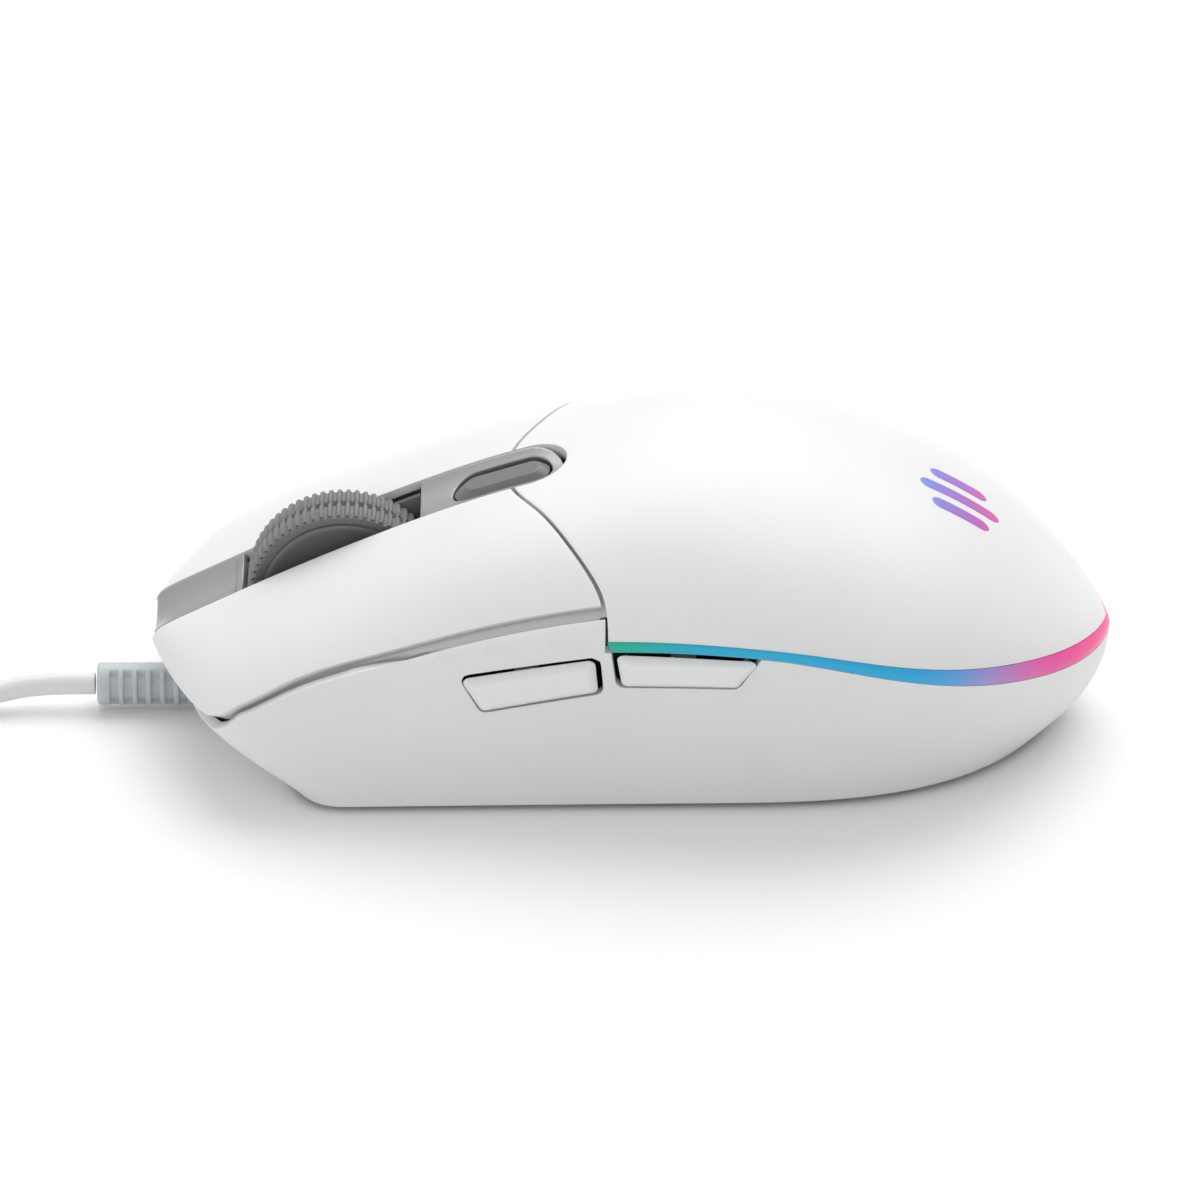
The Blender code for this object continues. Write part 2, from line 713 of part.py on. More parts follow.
def strip_cutter(name, clearance):
    """Tall bar with a round rear end, over the centre strip."""
    half = STRIP_HALF + clearance
    end = STRIP_END + clearance
    steps = 10
    points = [(-HALF - 5, -half)]
    for i in range(steps + 1):
        turn = math.pi * (i / steps - 0.5)
        points.append((end - half + half * math.cos(turn), half * math.sin(turn)))
    points.append((-HALF - 5, half))
    return plate(name, points, 0.3 * HEIGHT, HEIGHT + 5, None, CUTTERS)


def emblem_outlines(clearance):
    return [stadium((EMBLEM_X, y), long + 2 * clearance, BAR_WIDE + 2 * clearance)
            for y, long in EMBLEM_BARS]


def make_palm_cover():
    palm = patch("palm_cover", 22, 22, palm_point, WHITE, PALM_WALL)
    cut(palm, strip_cutter("strip_opening", GAP))
    cut(palm, band_room())
    for i, points in enumerate(emblem_outlines(GAP)):
        cut(palm, plate(f"slot_{i}", points, BASE_LOW, HEIGHT + 5, None, CUTTERS))
    floor = BASE_LOW + BASE_THICK + GAP
    for x, y in CASE_SCREWS:
        top = top_z(x, y) - 0.8 * PALM_WALL
        join(palm, cylinder("boss", BOSS_RADIUS, (x, y, floor), (x, y, top), None, group=CUTTERS))
        bore(palm, x, y, floor - 1, floor + 9, SCREW_SHANK + PILOT_CLEAR)
    return palm


def make_emblem():
    def surface(depth):
        def place(u, v):
            x = EMBLEM_X + (u - 0.5) * 12.0
            y = (v - 0.5) * 11.0
            return Vector((x, y, top_z(x, y) - depth))
        return place

    emblem = patch("emblem_window", 6, 6, surface(EMBLEM_SEAT), LIGHT, 1.0)
    for i, points in enumerate(emblem_outlines(0.0)):
        bar = patch(f"bar_{i}", 8, 8, surface(0.0), LIGHT, BAR_DEEP, CUTTERS)
        combine(bar, plate("bar_outline", points, BASE_LOW, HEIGHT + 5, None, CUTTERS), "INTERSECT")
        join(emblem, bar)
    return emblem


def button_point(side):
    """Place function of a main button on one side, -1 for the thumb side."""
    inner = STRIP_HALF + GAP

    def seam_x(y):
        return seam_share(min(abs(y) / half_width(BAND_START * HALF), 1.0)) * HALF - SEAM_GAP / 2

    def outer_y(x):
        rise = seam_rise(x / HALF) + SIDE_GROOVE / 2
        return rise_point(x, rise).y

    lip = turn_at(LIP_X)
    corner = turn_at(CORNER_X)
    end_x = seam_x(outer_y(-0.055 * HALF))
    end_y = outer_y(end_x)

    def front(share):
        point = outline(lip + (corner - lip) * share)
        return Vector((point.x, max(point.y, inner)))

    def rear(share):
        y = inner + (end_y - inner) * share
        return Vector((seam_x(y), y))

    def near_strip(share):
        x = front(0).x + (rear(0).x - front(0).x) * share
        return Vector((x, inner))

    def outer(share):
        x = front(1).x + (end_x - front(1).x) * share
        blend = min(share / 0.08, 1.0)
        y = outer_y(x) * blend + half_width(x) * (1 - blend)
        return Vector((x, y))

    def place(across, along):
        along = along ** 1.25
        across = 1 - (1 - across) ** 1.3
        plan = blend_edges(front, rear, near_strip, outer, across, along)
        return Vector((plan.x, side * plan.y, top_z(plan.x, plan.y)))

    return place


def make_main_button(name, side):
    button = patch(name, 10, 15, button_point(side), WHITE, BUTTON_WALL)
    x, y = MAIN_SWITCH_X, side * MAIN_SWITCH_Y
    low = board_top() + SWITCH_HIGH + PLUNGER_UP + GAP
    half = BUTTON_POST / 2
    top = top_z(x, y) - 0.6 * BUTTON_WALL
    join(button, box("post", (x - half, y - half, low), (x + half, y + half, top), None,
                     group=CUTTERS))
    return button


def band_bar(name, grow, finish, group=None):
    """Lit band round the tail, or its room when grown by a clearance."""
    first = turn_at(BAND_START - 4 * grow / HALF)
    steps = 40
    rings = []
    for i in range(2 * steps + 1):
        side = 1 if i < steps else -1
        turn = first + (1 - first) * (1 - abs(i - steps) / steps)
        belt = outline(turn)
        away = (Vector((belt.x, belt.y, 0)) - spine_point(belt.x)).normalized()
        low = wall_point(turn, BAND_DROP + grow) + away * 6 * grow
        high = inset_outline(turn, BAND_RISE + grow) + away * 6 * grow
        inward = away * (BAND_DEEP + 7 * grow)
        ring = (low, high, high - inward, low - inward)
        rings.append([Vector((point.x, side * point.y, point.z)) for point in ring])
    return swept(name, rings, finish, group)


def make_light_band():
    return band_bar("light_band", 0, LIGHT)


def band_room():
    return band_bar("band_room", GAP, None, CUTTERS)


def wheel_centre_z():
    return top_z(WHEEL_X, 0) + WHEEL_PROUD - WHEEL_RADIUS


def strip_z(x, y):
    edge = top_z(x, STRIP_HALF)
    return edge - STRIP_DIP * (1 - (y / STRIP_HALF) ** 2)


def make_centre_strip():
    round_x = STRIP_END - STRIP_HALF

    def place(u, v):
        x = STRIP_FRONT + (STRIP_END - STRIP_FRONT) * (1 - (1 - u) ** 1.3)
        half = STRIP_HALF
        if x > round_x:
            half *= math.sqrt(max(1 - ((x - round_x) / STRIP_HALF) ** 2, 0.04))
        y = (2 * v - 1) * half
        return Vector((x, y, strip_z(x, y)))

    def rim(x):
        return belt_z(x) - SEAM_GAP + GAP if x < LIP_REACH else 0

    strip = pressed("centre_strip", 30, 4, place, GREY, (0, 0, -STRIP_WALL), rim)
    half = WHEEL_WIDE / 2 + SLOT_CLEAR
    cut(strip, box("wheel_slot", (WHEEL_X - SLOT_FRONT, -half, BASE_LOW),
                   (WHEEL_X + SLOT_REAR, half, HEIGHT + 5), None, group=CUTTERS))
    opening = stadium((DPI_X, 0), DPI_LONG + 2 * GAP, DPI_WIDE + 2 * GAP)
    cut(strip, plate("dpi_opening", opening, BASE_LOW, HEIGHT + 5, None, CUTTERS))
    return strip


def make_dpi_button():
    cap = plate("dpi_button", stadium((DPI_X, 0), DPI_LONG, DPI_WIDE), 0, DPI_DEEP, DARK)
    slope = (strip_z(DPI_X + 4, 0) - strip_z(DPI_X - 4, 0)) / 8
    top = strip_z(DPI_X, 0) + DPI_PROUD
    for vertex in cap.data.vertices:
        lean = (vertex.co.x / MM - DPI_X) * slope
        vertex.co.z += (top - DPI_DEEP + lean) * MM
    switch_top = board_top() + TACT_HIGH + PLUNGER_UP
    join(cap, box("stem", (DPI_X + DPI_STEM - 1.2, -1.4, switch_top + GAP),
                  (DPI_X + DPI_STEM + 1.2, 1.4, top - 1.2),
                  None, group=CUTTERS))
    return cap


def make_thumb_button(name, corners, tact_x, tact_z):
    """Raised patch on the thumb wall, pushed straight in towards its switch."""
    (x1, z1), (x2, z2), (x3, z3), (x4, z4) = corners

    def place(u, v):
        upper = Vector((x1, z1)).lerp(Vector((x2, z2)), u)
        lower = Vector((x4, z4)).lerp(Vector((x3, z3)), u)
        spot = lower.lerp(upper, v)
        return Vector((spot.x, -wall_y(spot.x, spot.y) - THUMB_PROUD, spot.y))

    button = pressed(name, 8, 3, place, WHITE, (0, THUMB_DEEP, 0))
    skin = -wall_y(tact_x, tact_z) - THUMB_PROUD
    tip = SIDE_BOARD_Y - GAP - TACT_HIGH - PLUNGER_UP - GAP
    join(button, box("post", (tact_x - 1.5, skin + THUMB_DEEP - 0.6, tact_z - 1.5),
                     (tact_x + 1.5, tip, tact_z + 1.5), None, group=CUTTERS))
    return button


# Wheel, axle and carrier

def make_wheel():
    z = wheel_centre_z()
    centre = (WHEEL_X, 0, z)
    half = WHEEL_WIDE / 2
    inner = WHEEL_RADIUS - TYRE_THICK
    crown = 0.5
    tyre = [(inner, -half), (WHEEL_RADIUS - crown, -half), (WHEEL_RADIUS, -half + crown),
            (WHEEL_RADIUS, half - crown), (WHEEL_RADIUS - crown, half), (inner, half),
            (inner, -half)]
    turned("wheel_tyre", tyre, (0, 1, 0), centre, RUBBER, segments=48)
    rim = inner - GAP
    hub_half = HUB_WIDE / 2
    web = 1.0
    bore_radius = AXLE_RADIUS + GAP
    hub = [(bore_radius, -hub_half), (3.2, -hub_half), (3.2, -web), (rim - 1.6, -web),
           (rim - 1.6, -hub_half), (rim, -hub_half), (rim, hub_half), (rim - 1.6, hub_half),
           (rim - 1.6, web), (3.2, web), (3.2, hub_half), (bore_radius, hub_half),
           (bore_radius, -hub_half)]
    turned("wheel_hub", hub, (0, 1, 0), centre, DARK, segments=48)
    cylinder("wheel_axle", AXLE_RADIUS, (WHEEL_X, -AXLE_LONG / 2, z), (WHEEL_X, AXLE_LONG / 2, z),
             STEEL, "Y")


def make_carrier():
    """Frame that holds the axle, turns on the pin and presses the click switch."""
    z = wheel_centre_z()
    half = CARRIER_INSIDE / 2
    outer = half + CARRIER_ARM
    low, high = PIVOT_Z - CARRIER_HIGH / 2, PIVOT_Z + CARRIER_HIGH / 2
    front, rear = WHEEL_X - 4.0, PIVOT_X + 2.6
    carrier = box("wheel_carrier", (front, -outer, low), (rear, outer, high), GREY)
    for side in (1, -1):
        arm_low, arm_high = sorted((side * half, side * outer))
        join(carrier, box("axle_lug", (WHEEL_X - 2.8, arm_low, PIVOT_Z),
                          (WHEEL_X + 2.8, arm_high, z + 2.8), None, group=CUTTERS))
    cut(carrier, box("wheel_room", (WHEEL_X - WHEEL_RADIUS - 1, -half, BASE_LOW),
                     (WHEEL_X + WHEEL_RADIUS + 0.9, half, HEIGHT), None, group=CUTTERS))
    cut(carrier, cylinder("axle_hole", AXLE_RADIUS + GAP, (WHEEL_X, -20, z), (WHEEL_X, 20, z), None,
                          "Y", CUTTERS))
    cut(carrier, cylinder("pivot_hole", PIN_RADIUS + GAP, (PIVOT_X, -20, PIVOT_Z),
                          (PIVOT_X, 20, PIVOT_Z), None, "Y", CUTTERS))
    pad_low = board_top() + SWITCH_HIGH + PLUNGER_UP + GAP
    join(carrier, box("click_pad", (WHEEL_X - 1.6, CLICK_Y - 1.2, pad_low),
                      (WHEEL_X + 1.6, -half - 0.5, pad_low + 1.6), None, group=CUTTERS))
    cylinder("carrier_pin", PIN_RADIUS, (PIVOT_X, -PIN_LONG / 2, PIVOT_Z),
             (PIVOT_X, PIN_LONG / 2, PIVOT_Z), STEEL, "Y")
    encoder = box("scroll_encoder", (WHEEL_X - 3.8, outer + GAP, z - 5.8),
                  (WHEEL_X + 3.8, outer + 5.4, z + 2.4), SWITCH, 0.4)
    cut(encoder, cylinder("shaft_hole", AXLE_RADIUS + GAP, (WHEEL_X, 0, z), (WHEEL_X, outer + 3.4, z),
                          None, "Y", CUTTERS))


def make_carrier_spring():
    """Coil spring that lifts the carrier off the wheel-click switch."""
    low = board_top() + SPRING_WIRE / 2
    high = PIVOT_Z - CARRIER_HIGH / 2 - GAP - SPRING_WIRE / 2
    y = (CARRIER_INSIDE + CARRIER_ARM) / 2
    steps = SPRING_TURNS * 10
    points = []
    for i in range(steps + 1):
        turn = math.tau * SPRING_TURNS * i / steps
        points.append((SPRING_X + SPRING_RADIUS * math.cos(turn),
                       y + SPRING_RADIUS * math.sin(turn), low + (high - low) * i / steps))
    tube("carrier_spring", points, SPRING_WIRE, STEEL)


# Boards and switches

def board_top():
    """Height at which parts sit on the main board."""
    return BOARD_LOW + BOARD_THICK + GAP


def make_switch(name, x, y, low, long_axis="X"):
    """Microswitch body with its plunger in an open pocket on top."""
    long, wide = SWITCH_LONG / 2, SWITCH_WIDE / 2
    stem_long, stem_wide = PLUNGER_LONG / 2, PLUNGER_WIDE / 2
    if long_axis == "Y":
        long, wide = wide, long
        stem_long, stem_wide = stem_wide, stem_long
    top = low + SWITCH_HIGH
    body = box(name + "_switch", (x - long, y - wide, low), (x + long, y + wide, top), SWITCH, 0.3)
    cut(body, box("pocket", (x - stem_long - GAP, y - stem_wide - GAP, top - PLUNGER_POCKET),
                  (x + stem_long + GAP, y + stem_wide + GAP, top + 1), None, group=CUTTERS))
    box(name + "_plunger", (x - stem_long, y - stem_wide, top - 1.0),
        (x + stem_long, y + stem_wide, top + PLUNGER_UP), RUBBER)


def make_tact(name, centre, direction):
    """Small push switch with a round stem along a direction, +Z or -Y."""
    x, y, z = centre
    half = TACT_SIZE / 2
    if direction == "Z":
        low, high = (x - half, y - half, z), (x + half, y + half, z + TACT_HIGH)
        stem_low, stem_high = (x, y, z + TACT_HIGH - 1.0), (x, y, z + TACT_HIGH + PLUNGER_UP)
        hole_low, hole_high = (x, y, z + TACT_HIGH - PLUNGER_POCKET), (x, y, z + TACT_HIGH + 1)
    else:
        low, high = (x - half, y - TACT_HIGH, z - 2.4), (x + half, y, z + 2.4)
        stem_low, stem_high = (x, y - TACT_HIGH - PLUNGER_UP, z), (x, y - TACT_HIGH + 1.0, z)
        hole_low, hole_high = (x, y - TACT_HIGH - 1, z), (x, y - TACT_HIGH + PLUNGER_POCKET, z)
    body = box(name + "_switch", low, high, SWITCH, 0.3)
    cut(body, cylinder("pocket", TACT_STEM + GAP, hole_low, hole_high, None, direction, CUTTERS,
                       segments=16))
    cylinder(name + "_plunger", TACT_STEM, stem_low, stem_high, RUBBER, direction, segments=16)


def make_main_board():
    low, high = BOARD_LOW, BOARD_LOW + BOARD_THICK
    half = BOARD_WIDE / 2
    board = box("main_board", (BOARD_FRONT, -half, low), (BOARD_REAR, half, high), BOARD)
    room = WHEEL_WIDE / 2 + 1.0
    cut(board, box("wheel_room", (WHEEL_X - 10, -room, low - 1), (WHEEL_X + 10, room, high + 1),
                   None, group=CUTTERS))
    for side in (1, -1):
        y = side * (PIN_LONG / 2 - POST_WIDE / 2 - 0.6)
        cut(board, box("post_room", (PIVOT_X - 3.1, y - POST_WIDE / 2 - 0.5, low - 1),
                       (PIVOT_X + 3.1, y + POST_WIDE / 2 + 0.5, high + 1), None, group=CUTTERS))
    cut(board, box("lead_notch", (BOARD_FRONT - 1, 0, low - 1), (BOARD_FRONT + 2.6, 7.6, high + 1),
                   None, group=CUTTERS))
    for x, y in BOARD_SCREWS:
        bore(board, x, y, low - 1, high + 1, SCREW_SHANK + PILOT_CLEAR)
    for x, y in CASE_SCREWS:
        if x < BOARD_REAR:
            bore(board, x, y, low - 1, high + 1, BOSS_RADIUS + 0.5)


def make_electronics():
    top = board_top()
    make_main_board()
    for name, side in (("left", -1), ("right", 1)):
        make_switch(name, MAIN_SWITCH_X, side * MAIN_SWITCH_Y, top)
    make_switch("middle", WHEEL_X, CLICK_Y, top)
    make_tact("dpi", (DPI_X + DPI_STEM, 0, top), "Z")
    chip = CHIP_SIZE / 2
    box("sensor_chip", (SENSOR_X - chip, -chip, top), (SENSOR_X + chip, chip, top + 2.0), SWITCH,
        0.3)
    lens_low = BASE_LOW + BASE_THICK + GAP
    box("sensor_lens", (SENSOR_X - LENS_LONG / 2, -LENS_WIDE / 2, lens_low),
        (SENSOR_X + LENS_LONG / 2, LENS_WIDE / 2, BOARD_LOW - GAP), CLEAR, 0.3)
    box("controller_chip", (-8, 9, top), (-1, 16, top + 1.2), SWITCH)
    end = LEAD_ROUTE[-1]
    box("cable_socket", (end[0] - 1.6, end[1] + GAP, top), (end[0] + 2.0, end[1] + 4.4, top + 3.8),
        CLEAR, 0.2)
    for i, (x, y) in enumerate(BOARD_SCREWS):
        screw(f"board_screw_{i + 1}", x, y, top, BASE_LOW + 1.6)


def make_side_switches():
    low = min(z for _, z in FRONT_THUMB) - 1
    high = max(z for _, z in REAR_THUMB) - 1
    box("side_board", (SIDE_BOARD_FRONT, SIDE_BOARD_Y, low),
        (SIDE_BOARD_REAR, SIDE_BOARD_Y + BOARD_THICK, high), BOARD)
    for name, (x, z) in (("forward", FRONT_TACT), ("back", REAR_TACT)):
        make_tact(name, (x, SIDE_BOARD_Y - GAP, z), "Y")
    make_thumb_button("forward_button", FRONT_THUMB, *FRONT_TACT)
    make_thumb_button("back_button", REAR_THUMB, *REAR_TACT)


def make_light_board():
    z = LIGHT_BOARD_Z
    box("light_board", (24.5, -15, z), (33, 15, z + BOARD_THICK), BOARD)
    for i, y in enumerate((-12.0, -4.5, 4.5, 12.0)):
        box(f"led_{i + 1}", (29, y - 1.6, z + BOARD_THICK + GAP),
            (32.5, y + 1.6, z + BOARD_THICK + GAP + 1.4), LIGHT, 0.2)


# Fasteners and feet

def screw(name, x, y, seat, tip):
    """Screw whose head rests at seat and whose shank ends at tip."""
    away = 1 if seat > tip else -1
    head = seat + away * SCREW_HEAD_HIGH
    item = cylinder(name, SCREW_HEAD, (x, y, min(seat, head)), (x, y, max(seat, head)), STEEL,
                    segments=20)
    near = seat + away * SCREW_HEAD_HIGH / 2
    join(item, cylinder("shank", SCREW_SHANK, (x, y, min(tip, near)), (x, y, max(tip, near)), None,
                        group=CUTTERS, segments=12))
    slot = SCREW_HEAD * 0.75
    deep = 0.5
    cut(item, box("slot", (x - slot, y - 0.25, min(head, head - away * deep)),
                  (x + slot, y + 0.25, max(head, head - away * deep)), None, group=CUTTERS))
    return item


def make_case_screws():
    for i, (x, y) in enumerate(CASE_SCREWS):
        screw(f"case_screw_{i + 1}", x, y, BASE_LOW + SCREW_HEAD_HIGH - 0.1, BASE_LOW + 8.0)


def make_feet():
    for name, x, y in FOOT_PLACES:
        points = stadium((x, y), FOOT_WIDE, FOOT_LONG, math.pi / 2)
        plate(name, points, 0.0, FOOT_THICK, DARK)


# Cable

def smooth_route(points, spacing):
    """Points every so often along a smooth curve through a route."""
    places = [0.0]
    for first, second in zip(points, points[1:]):
        places.append(places[-1] + math.dist(first, second))
    curves = [curve_through([(place, point[k]) for place, point in zip(places, points)])
              for k in range(3)]
    count = max(int(round(places[-1] / spacing)), 2)
    return [tuple(curve(places[-1] * i / count) for curve in curves) for i in range(count + 1)]


def tube(name, points, diameter, finish):
    line = bpy.data.curves.new(name, "CURVE")
    line.dimensions = "3D"
    line.bevel_depth = diameter / 2 * MM
    line.bevel_resolution = 2
    line.use_fill_caps = True
    spline = line.splines.new("POLY")
    spline.points.add(len(points) - 1)
    for point, place in zip(spline.points, points):
        point.co = (place[0] * MM, place[1] * MM, place[2] * MM, 1)
    curve = bpy.data.objects.new(name, line)
    PARTS.objects.link(curve)
    line.materials.append(finish)
    return curve


def make_strain_relief():
    groove = RELIEF_RADIUS - RELIEF_GROOVE
    profile = [(0, RELIEF_TIP), (groove, RELIEF_TIP)]
    place = RELIEF_TIP + 0.8
    while place < RELIEF_ROOT - 3 * RELIEF_RIB:
        profile += [(groove, place), (RELIEF_RADIUS, place + 0.3),
                    (RELIEF_RADIUS, place + RELIEF_RIB - 1.1), (groove, place + RELIEF_RIB - 0.8)]
        place += RELIEF_RIB
    profile += [(groove, RELIEF_ROOT - 2), (RELIEF_RADIUS, RELIEF_ROOT - 1.6),
                (RELIEF_RADIUS, RELIEF_ROOT), (0, RELIEF_ROOT)]
    return turned("strain_relief", profile, (1, 0, 0), (0, 0, CABLE_Z), CABLE, segments=20)


def make_cable():
    make_strain_relief()
    tube("inner_lead", smooth_route(LEAD_ROUTE, 1.2), LEAD_DIAMETER, CABLE)
    tube("cable", smooth_route(CABLE_ROUTE, 2.5 * CABLE_DIAMETER), CABLE_DIAMETER, CABLE)
    tube("cable_tail", smooth_route(TAIL_ROUTE, 2.5 * CABLE_DIAMETER), CABLE_DIAMETER, CABLE)
    ring = [(COIL_INNER, 0), (COIL_OUTER, 0), (COIL_OUTER, COIL_HIGH), (COIL_INNER, COIL_HIGH),
            (COIL_INNER, 0)]
    turned("cable_coil", ring, (0, 0, 1), (COIL_X, COIL_Y, 0), CABLE, segments=40)
    hollow = math.sqrt(COIL_INNER ** 2 - (CLIP_WIDE / 2) ** 2)
    inside = (COIL_Y + hollow - GAP, COIL_Y + COIL_OUTER + GAP)
    roof = COIL_HIGH + GAP
    clip = box("cord_clip", (COIL_X - CLIP_WIDE / 2, inside[0] - CLIP_THICK, CLIP_LOW),
               (COIL_X + CLIP_WIDE / 2, inside[1] + CLIP_THICK, roof + CLIP_THICK), DARK)
    cut(clip, box("clip_room", (COIL_X - CLIP_WIDE, inside[0], -1),
                  (COIL_X + CLIP_WIDE, inside[1], roof), None, group=CUTTERS))


def make_plug():
    """Flat plug that lies on the desk beside the coil, pointing along +Y."""
    middle = GRIP_HIGH / 2
    grip_end = PLUG_Y + GRIP_LONG
    box("usb_grip", (PLUG_X - GRIP_WIDE / 2, PLUG_Y, 0), (PLUG_X + GRIP_WIDE / 2, grip_end,
        GRIP_HIGH), WHITE, 1.2)
    low = (PLUG_X - SHELL_WIDE / 2, grip_end + GAP, middle - SHELL_HIGH / 2)
    high = (PLUG_X + SHELL_WIDE / 2, grip_end + GAP + SHELL_LONG, middle + SHELL_HIGH / 2)
    shell = box("usb_shell", low, high, STEEL)
    cut(shell, box("shell_room", (low[0] + SHELL_WALL, low[1] - 1, low[2] + SHELL_WALL),
                   (high[0] - SHELL_WALL, high[1] + 1, high[2] - SHELL_WALL), None, group=CUTTERS))
    inner = SHELL_WALL + GAP
    box("usb_tongue", (low[0] + inner, low[1], low[2] + inner),
        (high[0] - inner, high[1] - 0.5, low[2] + inner + TONGUE_HIGH), DARK)


def hang(name, place, pieces):
    """Empty on the axis of a joint, carrying the pieces that move there."""
    pivot = bpy.data.objects.new(name, None)
    pivot.empty_display_size = 5 * MM
    pivot.location = Vector(place) * MM
    PARTS.objects.link(pivot)
    for piece in pieces:
        piece = PARTS.objects[piece]
        piece.parent = pivot
        piece.matrix_parent_inverse = Matrix.Translation(-pivot.location)


def hang_moving_pieces():
    for name, side in (("left", -1), ("right", 1)):
        hang(f"{name}_button_pivot", (BUTTON_PIVOT_X, side * MAIN_SWITCH_Y, BUTTON_PIVOT_Z),
             [f"{name}_button"])
    hang("carrier_pivot", (PIVOT_X, 0, PIVOT_Z), ["wheel_carrier", "scroll_encoder"])
    hang("wheel_pivot", (WHEEL_X, 0, wheel_centre_z()), ["wheel_tyre", "wheel_hub", "wheel_axle"])
    hang("dpi_pivot", (DPI_X, 0, strip_z(DPI_X, 0)), ["dpi_button"])
    hang("forward_pivot", (FRONT_TACT[0], -WIDTH / 2, FRONT_TACT[1]), ["forward_button"])
    hang("back_pivot", (REAR_TACT[0], -WIDTH / 2, REAR_TACT[1]), ["back_button"])


def smooth_round_pieces():
    for item in PARTS.objects:
        if item.type == "MESH":
            item.data.shade_smooth()
            item.data.set_sharp_from_angle(angle=math.radians(SHARP_ANGLE))


for maker in (make_side_housing, make_base_plate, make_palm_cover, make_emblem, make_light_band,
              make_centre_strip, make_dpi_button, make_wheel, make_carrier, make_carrier_spring,
              make_electronics, make_side_switches, make_light_board, make_case_screws, make_feet,
              make_cable, make_plug):
    maker()
make_main_button("left_button", -1)
make_main_button("right_button", 1)
hang_moving_pieces()
smooth_round_pieces()
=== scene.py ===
# Looks of a wired computer mouse with a lit band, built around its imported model.
# Sizes are in millimetres and become metres when a piece is made.

import math

import bmesh
import bpy
import numpy as np
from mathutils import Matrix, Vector


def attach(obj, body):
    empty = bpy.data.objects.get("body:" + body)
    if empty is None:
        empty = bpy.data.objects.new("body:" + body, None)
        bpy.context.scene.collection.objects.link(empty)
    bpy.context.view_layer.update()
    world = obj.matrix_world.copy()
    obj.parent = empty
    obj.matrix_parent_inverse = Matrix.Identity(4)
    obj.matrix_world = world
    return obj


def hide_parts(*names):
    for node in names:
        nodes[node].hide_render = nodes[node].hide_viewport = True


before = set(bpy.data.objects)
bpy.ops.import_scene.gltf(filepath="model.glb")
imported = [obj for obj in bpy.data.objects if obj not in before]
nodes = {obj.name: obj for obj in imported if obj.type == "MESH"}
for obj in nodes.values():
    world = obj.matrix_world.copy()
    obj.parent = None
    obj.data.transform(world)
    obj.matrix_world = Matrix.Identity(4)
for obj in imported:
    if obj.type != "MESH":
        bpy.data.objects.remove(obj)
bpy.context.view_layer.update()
mm = 0.001
gap = 0.3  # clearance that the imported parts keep

print("form")

form = {
    "length": 116.6,
    "width": 62.0,
    "height": 37.6,
    "noseReach": 0.158,  # share of the half length over which the nose widens
    "nosePower": 0.66,
    "cornerPower": 12.0,
    "tailStart": 0.17,
    "tailPowers": (3.1, 1.4),
    "tailCrownStart": 0.51,
    "tailCrownPowers": (2.6, 1.5),
    "baseLow": 0.9,
    "spine": (-0.69, 0.51),  # ends of the line that the sides face, as shares of the half length
}
half = form["length"] / 2

# place along the body as a share of its half length, then a share of the height or half width
crownLine = ((-1.00, 0.348), (-0.86, 0.457), (-0.72, 0.566), (-0.51, 0.716), (-0.24, 0.878),
             (-0.10, 0.938), (0.05, 0.987), (0.15, 0.998), (0.31, 0.977), (0.46, 0.922),
             (0.62, 0.830), (0.82, 0.668), (1.00, 0.465))
beltLine = ((-1.00, 0.309), (-0.84, 0.325), (-0.69, 0.441), (-0.51, 0.534), (-0.34, 0.594),
            (-0.17, 0.636), (0.00, 0.657), (0.17, 0.664), (0.34, 0.646), (0.51, 0.584),
            (0.69, 0.500), (0.82, 0.436), (0.91, 0.383), (1.00, 0.324))
sideLine = ((-1.00, 0.793), (-0.51, 0.819), (-0.14, 0.890), (0.09, 0.942), (0.26, 0.984),
            (0.45, 1.000), (1.00, 1.019))
fullnessLine = ((-1.0, 3.3), (-0.17, 3.1), (0.17, 2.7), (0.51, 2.45), (1.0, 2.2))
shoulderLine = ((-1.0, 1.10), (-0.17, 1.10), (0.17, 1.12), (0.51, 1.30), (0.77, 1.60), (1.0, 2.0))
seamLine = ((0.0, -0.247), (0.146, -0.24), (0.39, -0.182), (0.65, -0.113), (0.78, -0.075),
            (0.86, -0.055), (1.0, -0.046))
seamRiseLine = ((-1.0, 0.3), (-0.84, 0.3), (-0.69, 0.5), (-0.51, 0.9), (-0.34, 1.8), (-0.05, 3.5))

foot = {
    "front": -0.72,
    "rear": 0.892,
    "width": ((-1.0, 0.83), (0.0, 0.787), (1.0, 0.765)),
    "corner": 0.16,
    "tailStart": 0.17,
    "tailPowers": (3.0, 1.6),
}
# side wall between belt and foot: where along the turn a change starts, its reach, its amount
wallBends = ((0.11, 0.06, 0.7), (0.15, 0.15, -1.05), (0.6, 0.25, 0.85), (0.82, 0.1, 1.2))


# natural cubic curve through (place, value) points, for numbers or arrays
def curveThrough(points):
    places = np.array([point[0] for point in points], float)
    values = np.array([point[1] for point in points], float)
    steps = np.diff(places)
    count = len(places)
    matrix = np.eye(count)
    right = np.zeros(count)
    for i in range(1, count - 1):
        matrix[i, i - 1] = steps[i - 1]
        matrix[i, i] = 2 * (steps[i - 1] + steps[i])
        matrix[i, i + 1] = steps[i]
        right[i] = 6 * ((values[i + 1] - values[i]) / steps[i]
                        - (values[i] - values[i - 1]) / steps[i - 1])
    bends = np.linalg.solve(matrix, right)

    def value(place):
        place = np.clip(place, places[0], places[-1])
        i = np.clip(np.searchsorted(places, place, side="right") - 1, 0, count - 2)
        step = steps[i]
        before = (places[i + 1] - place) / step
        after = (place - places[i]) / step
        return (before * values[i] + after * values[i + 1]
                + ((before ** 3 - before) * bends[i]
                   + (after ** 3 - after) * bends[i + 1]) * step * step / 6)

    return value


